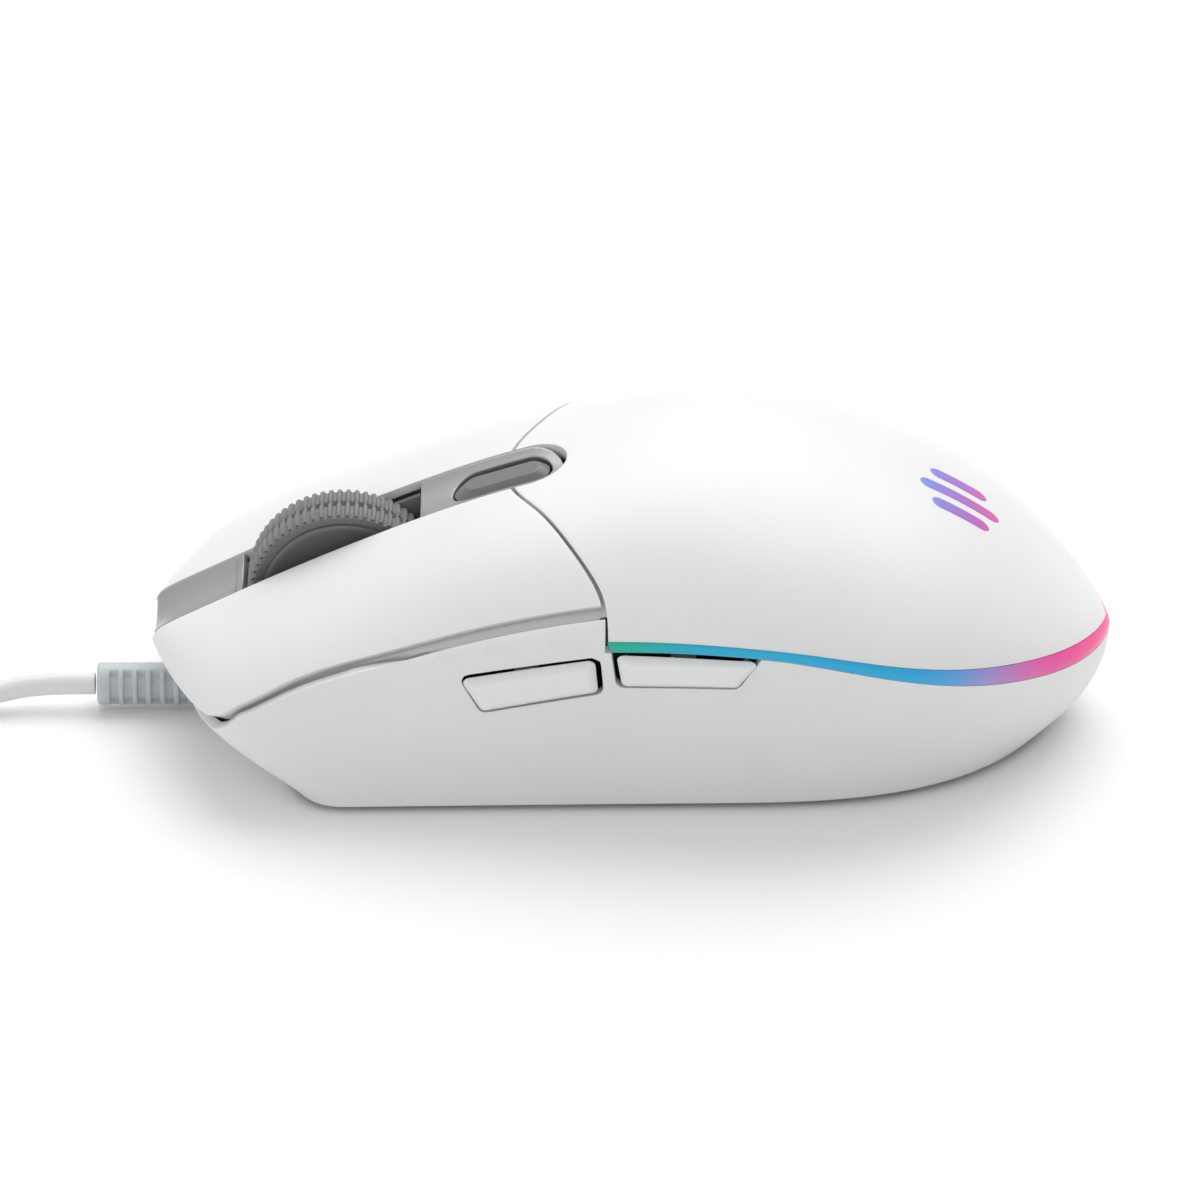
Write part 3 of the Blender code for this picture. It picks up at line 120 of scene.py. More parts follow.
crownShare = curveThrough(crownLine)
beltShare = curveThrough(beltLine)
sideShare = curveThrough(sideLine)
fullness = curveThrough(fullnessLine)
shoulder = curveThrough(shoulderLine)
seamShare = curveThrough(seamLine)
seamRise = curveThrough(seamRiseLine)
footShare = curveThrough(foot["width"])


def roundOff(place, start, end, powers):
    reach = np.maximum(place - start, 0.0) / (end - start)
    return np.maximum(1 - reach ** powers[0], 0.0) ** (1 / powers[1])


def beltZ(x):
    return beltShare(x / half) * form["height"]


def halfWidth(x):
    place = np.clip(x / half, -1.0, 1.0)
    broad = sideShare(place) * form["width"] / 2
    broad = broad * roundOff(place, form["tailStart"], 1.0, form["tailPowers"])
    nose = sideLine[0][1] * form["width"] / 2
    nose = nose * ((place + 1) / form["noseReach"]) ** form["nosePower"]
    power = form["cornerPower"]
    broad, nose = np.maximum(broad, 1e-4), np.maximum(nose, 1e-4)
    return (broad ** -power + nose ** -power) ** (-1 / power)


def domeHeight(x):
    place = np.clip(x / half, -1.0, 1.0)
    rise = crownShare(place) * form["height"] - beltZ(x)
    return rise * roundOff(place, form["tailCrownStart"], 1.0, form["tailCrownPowers"])


def topZ(x, y):
    place = np.clip(x / half, -1.0, 1.0)
    across = np.minimum(np.abs(y) / halfWidth(x), 1.0)
    return beltZ(x) + domeHeight(x) * (1 - across ** fullness(place)) ** (1 / shoulder(place))


# belt points on the +Y side, from the nose at turn 0 to the tail at turn 1
def outline(turn):
    x = -half * np.cos(np.pi * turn)
    return np.stack([x, halfWidth(x), beltZ(x)], -1)


def turnAt(share):
    return np.arccos(-share) / np.pi


# unit plan direction from a belt point to the middle
def inwardFrom(x, y):
    centre = np.clip(x, form["spine"][0] * half, form["spine"][1] * half)
    away = np.stack([centre - x, -y], -1)
    return away / np.linalg.norm(away, axis=-1, keepdims=True)


def insetOutline(turn, distance):
    point = outline(turn)
    plan = point[..., :2] + inwardFrom(point[..., 0], point[..., 1]) * distance
    return np.concatenate([plan, topZ(plan[..., 0], plan[..., 1])[..., None]], -1)


def footprint(turn):
    middle = (foot["front"] + foot["rear"]) / 2
    reach = (foot["rear"] - foot["front"]) / 2
    place = middle - reach * np.cos(np.pi * turn)
    width = footShare(place) * form["width"] / 2
    front = np.minimum((place - foot["front"]) / foot["corner"], 1.0)
    width = width * np.maximum(1 - (1 - front) ** 3, 0.0) ** (1 / 3)
    width = width * roundOff(place, foot["tailStart"], foot["rear"], foot["tailPowers"])
    return np.stack([place * half, width, np.full_like(place, form["baseLow"])], -1)


def wallPoint(turn, drop):
    high, low = outline(turn), footprint(turn)
    share = np.clip(drop / (high[..., 2] - low[..., 2]), 0.0, 1.0)
    power = 1.0
    for start, reach, amount in wallBends:
        power = power + amount * np.clip((turn - start) / reach, 0.0, 1.0)
    bend = share ** power
    plan = high[..., :2] + (low[..., :2] - high[..., :2]) * bend[..., None]
    z = high[..., 2] + (low[..., 2] - high[..., 2]) * share
    return np.concatenate([plan, z[..., None]], -1)


def risePoint(x, rise):
    place = x / half
    share = np.clip(rise / domeHeight(x), 0.0, 1.0)
    across = (1 - share ** shoulder(place)) ** (1 / fullness(place))
    return np.stack([x, across * halfWidth(x), beltZ(x) + rise], -1)


# distance of the side wall from the centre plane
def wallY(x, z):
    turn = turnAt(x / half)
    for _ in range(20):
        point = wallPoint(turn, outline(turn)[..., 2] - z)
        slope = half * np.pi * np.maximum(np.sin(np.pi * turn), 0.2)
        turn = turn + (x - point[..., 0]) / slope
    return wallPoint(turn, outline(turn)[..., 2] - z)[..., 1]


print("materials")

finishes = {
    "whiteShell": {"colour": (0.76, 0.76, 0.757), "rough": 0.42, "grain": 0.12, "bump": 0.04,
                   "subsurface": 0.08},
    "glossWhite": {"colour": (0.80, 0.80, 0.80), "rough": 0.18, "grain": 0.3, "bump": 0.01,
                   "subsurface": 0.08},
    "satinGrey": {"colour": (0.36, 0.37, 0.368), "rough": 0.3, "grain": 0.08, "bump": 0.05,
                  "metal": 0.35},
    "slotGrey": {"colour": (0.20, 0.21, 0.205), "rough": 0.45, "grain": 0.15, "bump": 0.04},
    "modeGrey": {"colour": (0.15, 0.157, 0.154), "rough": 0.24, "grain": 0.12, "bump": 0.03},
    "wheelRubber": {"colour": (0.19, 0.20, 0.196), "rough": 0.62, "grain": 0.15, "bump": 0.10},
    "wheelSide": {"colour": (0.15, 0.158, 0.154), "rough": 0.38, "grain": 0.2, "bump": 0.03},
    "darkPlastic": {"colour": (0.035, 0.036, 0.038), "rough": 0.5, "grain": 0.2, "bump": 0.12},
    "innerPlastic": {"colour": (0.055, 0.056, 0.058), "rough": 0.55, "grain": 0.3, "bump": 0.08},
    "slipFoot": {"colour": (0.03, 0.03, 0.032), "rough": 0.28, "grain": 0.3, "bump": 0.04},
    "reliefGrey": {"colour": (0.52, 0.56, 0.575), "rough": 0.40, "grain": 0.2, "bump": 0.05,
                   "subsurface": 0.1},
    "cableSheath": {"colour": (0.74, 0.745, 0.745), "rough": 0.42, "grain": 0.25, "bump": 0.06},
    "boardGreen": {"colour": (0.012, 0.11, 0.045), "rough": 0.35, "grain": 0.6, "bump": 0.05},
    "switchBlack": {"colour": (0.03, 0.03, 0.032), "rough": 0.4, "grain": 0.3, "bump": 0.05},
    "plungerWhite": {"colour": (0.72, 0.72, 0.68), "rough": 0.3, "grain": 0.3, "bump": 0.02},
    "plateSteel": {"colour": (0.62, 0.62, 0.63), "rough": 0.28, "grain": 0.5, "bump": 0.04,
                   "metal": 1.0},
    "lensClear": {"colour": (0.80, 0.86, 0.90), "rough": 0.06, "grain": 0.4, "bump": 0.0,
                  "glass": 0.8},
    "ledClear": {"colour": (0.95, 0.92, 0.78), "rough": 0.12, "grain": 0.4, "bump": 0.0},
}


moulding = {
    "sparkDetail": 3.0, "driftDetail": 2.0, "driftSize": 18.0, "drift": 0.97,
    "roughSpread": (0.9, 1.12), "scatter": 1.5, "scatterColour": (1.0, 0.9, 0.8),
}
frosting = {"size": 0.25, "detail": 2.0, "bump": 0.03, "depth": 0.2}


def link(tree, source, target):
    tree.links.new(source, target)


def addNoise(tree, place, size, detail):
    noise = tree.nodes.new("ShaderNodeTexNoise")
    noise.inputs["Scale"].default_value = 1.0 / (size * mm)
    noise.inputs["Detail"].default_value = detail
    link(tree, place.outputs["Object"], noise.inputs["Vector"])
    return noise


def addBump(tree, noise, shader, strength, depth):
    bump = tree.nodes.new("ShaderNodeBump")
    bump.inputs["Strength"].default_value = strength
    bump.inputs["Distance"].default_value = depth * mm
    link(tree, noise.outputs["Fac"], bump.inputs["Height"])
    link(tree, bump.outputs["Normal"], shader.inputs["Normal"])


# moulded surface: fine spark texture, faint tone drift and a roughness that wanders
def plasticMaterial(name, colour, rough, grain, bump, metal=0.0, subsurface=0.0, glass=0.0):
    finish = bpy.data.materials.new(name)
    finish.use_nodes = True
    tree = finish.node_tree
    shader = tree.nodes["Principled BSDF"]
    shader.inputs["Metallic"].default_value = metal
    shader.inputs["Transmission Weight"].default_value = glass
    if subsurface:
        shader.inputs["Subsurface Weight"].default_value = subsurface
        shader.inputs["Subsurface Scale"].default_value = moulding["scatter"] * mm
        shader.inputs["Subsurface Radius"].default_value = moulding["scatterColour"]
    place = tree.nodes.new("ShaderNodeTexCoord")
    spark = addNoise(tree, place, grain, moulding["sparkDetail"])  # moulded spark grain
    drift = addNoise(tree, place, moulding["driftSize"], moulding["driftDetail"])  # slow tone drift
    tone = tree.nodes.new("ShaderNodeValToRGB")
    tone.color_ramp.elements[0].position = 0.3
    tone.color_ramp.elements[1].position = 0.7
    tone.color_ramp.elements[0].color = (*(c * moulding["drift"] for c in colour), 1)
    tone.color_ramp.elements[1].color = (*colour, 1)
    link(tree, drift.outputs["Fac"], tone.inputs["Fac"])
    link(tree, tone.outputs["Color"], shader.inputs["Base Color"])
    sheen = tree.nodes.new("ShaderNodeMapRange")
    sheen.inputs["To Min"].default_value = rough * moulding["roughSpread"][0]
    sheen.inputs["To Max"].default_value = rough * moulding["roughSpread"][1]
    link(tree, spark.outputs["Fac"], sheen.inputs["Value"])
    link(tree, sheen.outputs["Result"], shader.inputs["Roughness"])
    if bump:
        addBump(tree, spark, shader, bump, grain)
    return finish


materials = {name: plasticMaterial(name, **look) for name, look in finishes.items()}

bandLight = {
    "low": -3.0, "high": 58.3,  # where the colours start and end along the body
    "stops": ((0.00, (0.006, 0.37, 0.23)), (0.08, (0.004, 0.36, 0.29)),
              (0.17, (0.003, 0.34, 0.55)), (0.55, (0.003, 0.33, 0.62)),
              (0.67, (0.02, 0.31, 0.62)), (0.76, (0.33, 0.22, 0.52)),
              (0.86, (0.70, 0.03, 0.28)), (1.00, (0.76, 0.008, 0.19))),
    "glow": 0.15,
    "rough": 0.22,
}
emblemLight = {
    "low": 33.0, "high": 46.0,
    "stops": ((0.0, (0.09, 0.26, 0.66)), (0.4, (0.20, 0.13, 0.48)), (0.75, (0.40, 0.07, 0.36)),
              (1.0, (0.70, 0.03, 0.22))),
    "glow": 0.2,
    "rough": 0.3,
}


# frosted light guide whose colour changes along the body
def litMaterial(name, low, high, stops, glow, rough):
    finish = bpy.data.materials.new(name)
    finish.use_nodes = True
    tree = finish.node_tree
    shader = tree.nodes["Principled BSDF"]
    shader.inputs["Roughness"].default_value = rough
    shader.inputs["Emission Strength"].default_value = glow
    place = tree.nodes.new("ShaderNodeTexCoord")
    apart = tree.nodes.new("ShaderNodeSeparateXYZ")
    link(tree, place.outputs["Object"], apart.inputs["Vector"])
    along = tree.nodes.new("ShaderNodeMapRange")
    along.inputs["From Min"].default_value = low * mm
    along.inputs["From Max"].default_value = high * mm
    link(tree, apart.outputs["X"], along.inputs["Value"])
    ramp = tree.nodes.new("ShaderNodeValToRGB")
    ramp.color_ramp.interpolation = "B_SPLINE"
    marks = ramp.color_ramp.elements
    for i, (position, colour) in enumerate(stops):
        mark = marks[i] if i < 2 else marks.new(position)
        mark.position = position
        mark.color = (*colour, 1)
    link(tree, along.outputs["Result"], ramp.inputs["Fac"])
    link(tree, ramp.outputs["Color"], shader.inputs["Base Color"])
    link(tree, ramp.outputs["Color"], shader.inputs["Emission Color"])
    frost = addNoise(tree, place, frosting["size"], frosting["detail"])
    addBump(tree, frost, shader, frosting["bump"], frosting["depth"])
    return finish


materials["bandLight"] = litMaterial("bandLight", **bandLight)
materials["emblemLight"] = litMaterial("emblemLight", **emblemLight)

print("modelling helpers")


def pickOnly(piece):
    if bpy.context.object and bpy.context.object.mode != "OBJECT":
        bpy.ops.object.mode_set(mode="OBJECT")
    bpy.ops.object.select_all(action="DESELECT")
    piece.select_set(True)
    bpy.context.view_layer.objects.active = piece


def applyAll(piece):
    pickOnly(piece)
    for step in list(piece.modifiers):
        bpy.ops.object.modifier_apply(modifier=step.name)


# place and turn go into the mesh, and edges under the angle are shaded smooth
def settle(piece, angle=32):
    pickOnly(piece)
    bpy.ops.object.transform_apply(location=True, rotation=True, scale=True)
    bpy.ops.object.shade_smooth_by_angle(angle=math.radians(angle))
    return piece


def dress(piece, material, body, *cadNodes, slot=None):
    piece.data.materials.clear()
    piece.data.materials.append(materials[material])
    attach(piece, body)
    if cadNodes:
        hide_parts(*cadNodes)
    return piece


# flat grid whose points are laid on the form by place(u, v), arrays from 0 to 1
def sheet(name, columns, rows, place, ring=False):
    bpy.ops.object.select_all(action="DESELECT")
    bpy.ops.mesh.primitive_grid_add(x_subdivisions=columns, y_subdivisions=rows, size=1)
    piece = bpy.context.object
    piece.name = name
    flat = np.zeros(len(piece.data.vertices) * 3, np.float32)
    piece.data.vertices.foreach_get("co", flat)
    flat = flat.reshape(-1, 3).astype(float)
    laid = place(np.clip(flat[:, 0] + 0.5, 0, 1), np.clip(flat[:, 1] + 0.5, 0, 1)) * mm
    piece.data.vertices.foreach_set("co", laid.astype(np.float32).ravel())
    piece.data.update()
    if ring:
        pickOnly(piece)
        bpy.ops.object.mode_set(mode="EDIT")
        bpy.ops.mesh.select_all(action="SELECT")
        bpy.ops.mesh.remove_doubles(threshold=0.01 * mm)
        bpy.ops.object.mode_set(mode="OBJECT")
    return piece


# turn an open sheet so that its faces look away from a point
def faceAwayFrom(piece, core):
    shape = bmesh.new()
    shape.from_mesh(piece.data)
    core = Vector(core) * mm
    facing = sum(f.normal.dot(f.calc_center_median() - core) * f.calc_area() for f in shape.faces)
    if facing < 0:
        bmesh.ops.reverse_faces(shape, faces=shape.faces)
    shape.to_mesh(piece.data)
    shape.free()


# Trim an open sheet exactly along a line: distance(points) is negative inside it.
# Points close to the line slide onto it, and relay(points) lays them back on the form.
def cutAlong(piece, distance, relay, keepInside=False, near=None, pins=()):
    shape = bmesh.new()
    shape.from_mesh(piece.data)
    shape.verts.ensure_lookup_table()
    points = np.array([v.co for v in shape.verts], float) / mm
    wanted = np.ones(len(points), bool) if near is None else near(points)
    sign = -1 if keepInside else 1
    farOff = 99.0  # keeps points outside the wanted region out of the cut
    away = np.where(wanted, sign * distance(points), farOff)
    move = np.zeros(len(points), bool)
    for edge in shape.edges:
        a, b = edge.verts[0].index, edge.verts[1].index
        if away[a] * away[b] < 0:
            move[a if abs(away[a]) <= abs(away[b]) else b] = True
    spot = points[move]
    for _ in range(4):
        step = 1e-3
        value = distance(spot)
        slope = np.zeros_like(spot)
        for axis in range(3):
            shifted = spot.copy()
            shifted[:, axis] += step
            slope[:, axis] = (distance(shifted) - value) / step
        size = np.maximum((slope ** 2).sum(1), 1e-6)
        spot = relay(spot - slope * (value / size)[:, None])
    points[move] = spot
    away[move] = 0.0
    for pin in pins:  # the line's sharp corners
        closest = np.argmin(((points - pin) ** 2).sum(1))
        points[closest] = pin
        away[closest] = 0.0
    for vertex, point in zip(shape.verts, points):
        vertex.co = Vector(point) * mm
    for face in list(shape.faces):
        values = [away[v.index] for v in face.verts]
        if len(values) == 4 and min(values) < 0 < max(values):
            on = [v for v in face.verts if away[v.index] == 0.0]
            if len(on) == 2:
                bmesh.utils.face_split(face, on[0], on[1])
    gone = []
    for face in shape.faces:
        values = [away[v.index] for v in face.verts]
        if max(values) <= 0 and (min(values) < 0 or insideFace(face, distance, sign)):
            gone.append(face)
    bmesh.ops.delete(shape, geom=gone, context="FACES")
    shape.to_mesh(piece.data)
    shape.free()


def insideFace(face, distance, sign):
    middle = np.array([face.calc_center_median()], float) / mm
    return sign * distance(middle)[0] < 0


def softenEdges(piece, width, segments, angle):
    edge = piece.modifiers.new("edges", "BEVEL")
    edge.width = width * mm
    edge.segments = segments
    edge.limit_method = "ANGLE"
    edge.angle_limit = math.radians(angle)


def joinAll(pieces, name):
    pickOnly(pieces[0])
    for piece in pieces[1:]:
        piece.select_set(True)
    bpy.ops.object.join()
    pieces[0].name = name
    return pieces[0]


# wall under an open sheet, with its rims rounded
def thicken(piece, wall, roundness, segments=3, angle=50, even=True):
    solid = piece.modifiers.new("wall", "SOLIDIFY")
    solid.thickness = wall * mm
    solid.offset = -1
    solid.use_even_offset = even
    if roundness:
        softenEdges(piece, roundness, segments, angle)
    applyAll(piece)


# patch in plan that follows four edge curves
def planBlend(front, rear, left, right, u, v):
    across, along = u[:, None], v[:, None]
    ruled = front(u) * (1 - along) + rear(u) * along
    ruled = ruled + left(v) * (1 - across) + right(v) * across
    zero, one = np.zeros_like(u), np.ones_like(u)
    corners = (front(zero) * (1 - across) + front(one) * across) * (1 - along)
    corners = corners + (rear(zero) * (1 - across) + rear(one) * across) * along
    return ruled - corners


# signed distance to a bar with round ends, along x
def stadiumDistance(x, y, centre, long, wide):
    reach = (long - wide) / 2
    dx = np.maximum(np.abs(x - centre[0]) - reach, 0.0)
    return np.hypot(dx, y - centre[1]) - wide / 2


# signed distance to a convex outline with rounded corners
def polygonDistance(px, pz, corners, radius):
    corners = np.array(corners, float)
    middle = corners.mean(0)
    count = len(corners)
    lines, shrunk = [], []
    for i in range(count):
        a, b = corners[i], corners[(i + 1) % count]
        along = (b - a) / np.linalg.norm(b - a)
        normal = np.array([along[1], -along[0]])
        if np.dot(normal, middle - a) > 0:
            normal = -normal
        lines.append((normal, np.dot(normal, a) - radius))
    for i in range(count):
        (n1, c1), (n2, c2) = lines[i - 1], lines[i]
        shrunk.append(np.linalg.solve(np.array([n1, n2]), np.array([c1, c2])))
    inside = np.full(px.shape, -1e9)
    outside = np.full(px.shape, 1e9)
    for i in range(count):
        normal, level = lines[i]
        inside = np.maximum(inside, normal[0] * px + normal[1] * pz - level)
        a, b = shrunk[i], shrunk[(i + 1) % count]
        span = b - a
        share = np.clip(((px - a[0]) * span[0] + (pz - a[1]) * span[1]) / (span @ span), 0, 1)
        outside = np.minimum(outside, np.hypot(px - a[0] - share * span[0],
                                               pz - a[1] - share * span[1]))
    return np.where(inside < 0, inside, outside) - radius


def onTop(points):
    return np.stack([points[:, 0], points[:, 1], topZ(points[:, 0], points[:, 1])], -1)


print("palm cover")

seam = {"gap": 0.5, "bandStart": -0.044, "lip": -0.985, "corner": -0.86, "palmTail": 0.88}
strip = {"half": 4.35, "front": -57.2, "end": -7.8, "dip": 1.25, "wall": 1.6, "rim": 0.12,
         "columns": 200, "rows": 32, "reach": 80.0}
band = {"rise": 0.42, "drop": 0.75, "deep": 1.4, "bulge": 0.22, "seat": 0.15, "rim": 0.08,
        "columns": 300, "rows": 8}
palm = {"columns": 132, "rows": 150, "wall": 1.6, "rim": 0.1, "inset": 0.45, "crowd": 1.2}


def seamX(y, offset):
    across = np.minimum(np.abs(y) / halfWidth(seam["bandStart"] * half), 1.0)
    return seamShare(across) * half + offset


def palmPlace(u, v):
    wide = halfWidth(seam["bandStart"] * half)
    firstTurn = turnAt(seamShare(1.0) + seam["gap"] / 2 / half)
    lastTurn = turnAt(seam["palmTail"])

    def front(share):
        y = (2 * share - 1) * wide
        x = seamX(y, seam["gap"] / 2)
        limit = insetOutline(turnAt(x / half), palm["inset"])[..., 1]
        return np.stack([x, np.copysign(np.minimum(np.abs(y), limit), y)], -1)

    def side(sign):
        def edge(share):
            point = insetOutline(firstTurn + (lastTurn - firstTurn) * share, palm["inset"])
            return point[..., :2] * np.array([1, sign])
        return edge

    def rear(share):
        sign = np.where(share < 0.5, -1.0, 1.0)
        turn = 1 - np.abs(2 * share - 1) * (1 - lastTurn)
        point = insetOutline(turn, palm["inset"])
        return np.stack([point[..., 0], sign * point[..., 1]], -1)

    v = 1 - (1 - v) ** palm["crowd"]
    plan = planBlend(front, rear, side(-1), side(1), u, v)
    return np.stack([plan[:, 0], plan[:, 1], topZ(plan[:, 0], plan[:, 1])], -1)


# distance to the strip's outline, round at its rear end
def stripOutline(points, clearance):
    long = strip["end"] + strip["reach"]
    centre = (strip["end"] - long / 2 + clearance, 0.0)
    return stadiumDistance(points[:, 0], points[:, 1], centre, long + clearance,
                           2 * (strip["half"] + clearance))


def makePalm():
    piece = sheet("palmShell", palm["columns"], palm["rows"], palmPlace)
    cutAlong(piece, lambda points: stripOutline(points, gap), onTop)
    faceAwayFrom(piece, (20, 0, 15))
    thicken(piece, palm["wall"], palm["rim"], even=False)
    settle(piece)
    return dress(piece, "whiteShell", "case", "palm_cover", slot="white_shell")


makePalm()

print("main buttons")

button = {"columns": 56, "rows": 96, "wall": 1.05, "rim": 0.3, "groove": 0.9,
          "rear": -0.055, "tip": 0.08, "crowdRear": 1.25, "crowdOuter": 1.3}


def buttonPlace(side):
    inner = strip["half"] + gap

    def outerY(x):
        return risePoint(x, seamRise(x / half) + button["groove"] / 2)[..., 1]

    lipTurn, cornerTurn = turnAt(seam["lip"]), turnAt(seam["corner"])
    endX = seamX(outerY(np.array(button["rear"] * half)), -seam["gap"] / 2)
    endY = outerY(endX)

    def front(share):
        point = outline(lipTurn + (cornerTurn - lipTurn) * share)
        return np.stack([point[..., 0], np.maximum(point[..., 1], inner)], -1)

    def rear(share):
        y = inner + (endY - inner) * share
        return np.stack([seamX(y, -seam["gap"] / 2), y], -1)

    def alongStrip(share):
        zero = np.zeros_like(share)
        x = front(zero)[..., 0] + (rear(zero)[..., 0] - front(zero)[..., 0]) * share
        return np.stack([x, np.full_like(share, inner)], -1)

    def outer(share):
        one = np.ones_like(share)
        frontX = front(one)[..., 0]
        x = frontX + (endX - frontX) * share
        blend = np.minimum(share / button["tip"], 1.0)
        y = outerY(x) * blend + halfWidth(x) * (1 - blend)
        return np.stack([x, y], -1)

    def place(u, v):
        v = v ** button["crowdRear"]
        u = 1 - (1 - u) ** button["crowdOuter"]
        plan = planBlend(front, rear, alongStrip, outer, u, v)
        return np.stack([plan[:, 0], side * plan[:, 1], topZ(plan[:, 0], plan[:, 1])], -1)

    return place


def makeButtons():
    for side, name in ((-1, "left"), (1, "right")):
        piece = sheet(name + "ButtonShell", button["columns"], button["rows"], buttonPlace(side))
        faceAwayFrom(piece, (-30, side * 12, 5))
        thicken(piece, button["wall"], button["rim"])
        settle(piece)
        dress(piece, "whiteShell", name + "_button", name + "_button", slot="white_shell")


makeButtons()

print("side housing")

housing = {
    "columns": 540, "rows": 44, "wall": 1.2, "rim": 0.15, "noseDrop": 1.8, "drop": 0.75,
    "noseBlend": 0.06, "stepBack": 0.25, "stepStart": 1.0, "stepLong": 5.0,
    "stepNear": 8.0, "thumbNear": (-15.0, 25.0), "cordNear": (-35.0, 8.0),
}
thumb = {
    "forward": ((-20.0, 18.8), (-4.0, 22.4), (-3.6, 17.4), (-17.4, 14.2)),
    "back": ((-1.5, 23.3), (15.6, 23.45), (12.8, 18.8), (-0.8, 18.4)),
}
opening = {  # wider over and behind the front button, and ahead of the rear one
    "forward": ((-20.0, 19.15), (-3.55, 22.75), (-3.15, 17.4), (-17.4, 14.2)),
    "back": ((-2.0, 24.6), (15.9, 24.8), (12.8, 18.8), (-1.3, 18.4)),
}
thumbLook = {"corner": 0.8, "clear": 0.2, "columns": 72, "rows": 30, "proud": 0.85, "sunk": 0.1,
             "bevel": 1.0, "crown": 1.25, "deep": 1.5, "rim": 0.12, "spare": 0.5}
relief = {"tip": -64.5, "root": -41.4, "radius": 2.6, "z": 3.2, "pitch": 1.68, "groove": 1.15,
          "deep": 0.6, "collar": 1.5, "spine": 22.0, "fade": 9.0, "plain": 4.0, "lip": 0.25,
          "slope": 0.12, "bore": 0.05, "around": 96, "rim": 0.08}
bandFront = seam["bandStart"] * half - housing["stepBack"]  # the wall steps down to the band here


def housingRim(turn):
    x = outline(turn)[..., 0]
    nose = np.clip((x / half - seam["corner"]) / housing["noseBlend"], 0.0, 1.0)
    front = (seamRise(x / half) - housing["drop"]) * nose - housing["noseDrop"] * (1 - nose)
    down = np.clip((x - bandFront - housing["stepStart"]) / housing["stepLong"], 0.0, 1.0)
    return front * (1 - down) - (band["drop"] + band["seat"]) * down


def housingPlace(u, v):
    side = np.where(u < 0.5, 1.0, -1.0)
    turn = np.clip(np.where(u < 0.5, 2 * u, 2 * (1 - u)), 0.0, 1.0)
    belt = outline(turn)
    edge = housingRim(turn)
    rise = edge + (form["baseLow"] - belt[..., 2] - edge) * v
    under = wallPoint(turn, np.maximum(-rise, 0.0))
    over = risePoint(belt[..., 0], np.maximum(rise, 0.0))
    point = np.where((rise > 0)[..., None], over, under)
    return point * np.stack([np.ones_like(side), side, np.ones_like(side)], -1)


def onWall(points):
    y = -wallY(points[:, 0], points[:, 2])
    return np.stack([points[:, 0], y, points[:, 2]], -1)


# side skin over and under the belt, on either side
def onSide(points):
    rise = points[:, 2] - beltZ(points[:, 0])
    over = risePoint(points[:, 0], np.maximum(rise, 0.0))[:, 1]
    under = wallY(points[:, 0], np.minimum(points[:, 2], beltZ(points[:, 0])))
    y = np.where(rise > 0, over, under)
    return np.stack([points[:, 0], np.copysign(y, points[:, 1]), points[:, 2]], -1)


# distance to the corner that the wall leaves free for the lit band
def bandStep(points):
    rise = points[:, 2] - beltZ(points[:, 0])
    return np.maximum(bandFront - points[:, 0], -band["drop"] - band["seat"] - rise)


def makeHousing():
    piece = sheet("sideShell", housing["columns"], housing["rows"], housingPlace, ring=True)
    corner = np.array([[bandFront, side, beltZ(bandFront) - band["drop"] - band["seat"]]
                       for side in (1, -1)])
    cutAlong(piece, bandStep, onSide, pins=onSide(corner), near=lambda points:
             np.abs(points[:, 0] - housing["stepStart"]) < housing["stepNear"])
    sideOf, frontOf = housing["thumbNear"]
    for corners in opening.values():
        cutAlong(piece, lambda points, c=corners: polygonDistance(points[:, 0], points[:, 2], c,
                 thumbLook["corner"]) - thumbLook["clear"], onWall,
                 near=lambda points: (points[:, 1] < sideOf) & (points[:, 0] < frontOf))
    noseFrom, noseWide = housing["cordNear"]
    cutAlong(piece, lambda points: np.hypot(points[:, 1], points[:, 2] - relief["z"])
             - relief["radius"] - gap, lambda points: points,
             near=lambda points: (points[:, 0] < noseFrom) & (np.abs(points[:, 1]) < noseWide))
    faceAwayFrom(piece, (0, 0, 15))
    thicken(piece, housing["wall"], housing["rim"])
    settle(piece)
    return dress(piece, "whiteShell", "case", "side_housing", slot="white_shell")


makeHousing()

print("thumb buttons")


def makeThumbButtons():
    for name, corners in thumb.items():
        low = np.min(corners, 0) - thumbLook["spare"]
        high = np.max(corners, 0) + thumbLook["spare"]

        def distance(points, c=corners):
            return polygonDistance(points[:, 0], points[:, 2], c, thumbLook["corner"])

        def lay(x, z):
            inside = -polygonDistance(x, z, corners, thumbLook["corner"]) / thumbLook["bevel"]
            proud = thumbLook["proud"] * (1 - (1 - np.clip(inside, 0, 1)) ** thumbLook["crown"])
            return np.stack([x, -wallY(x, z) - proud + thumbLook["sunk"], z], -1)

        def place(u, v):
            return lay(low[0] + (high[0] - low[0]) * u, low[1] + (high[1] - low[1]) * v)

        piece = sheet(name + "ButtonCap", thumbLook["columns"], thumbLook["rows"], place)
        cutAlong(piece, distance, lambda points: lay(points[:, 0], points[:, 2]), keepInside=True)
        faceAwayFrom(piece, (0, 10, 18))
        thicken(piece, thumbLook["deep"], thumbLook["rim"], 2)
        settle(piece, 28)
        dress(piece, "glossWhite", name + "_button", name + "_button", slot="white_shell")


makeThumbButtons()

print("lit band")


def bandPlace(u, v):
    side = np.where(u < 0.5, 1.0, -1.0)
    first = turnAt(seam["bandStart"])
    turn = first + (1 - first) * (1 - np.abs(2 * u - 1))
    low = wallPoint(turn, np.full_like(turn, band["drop"]))
    high = insetOutline(turn, band["rise"])
    point = low + (high - low) * v[:, None]
    belt = outline(turn)
    away = -inwardFrom(belt[:, 0], belt[:, 1])
    point[:, :2] += away * (band["bulge"] * 4 * v * (1 - v))[:, None]
    return point * np.stack([np.ones_like(side), side, np.ones_like(side)], -1)


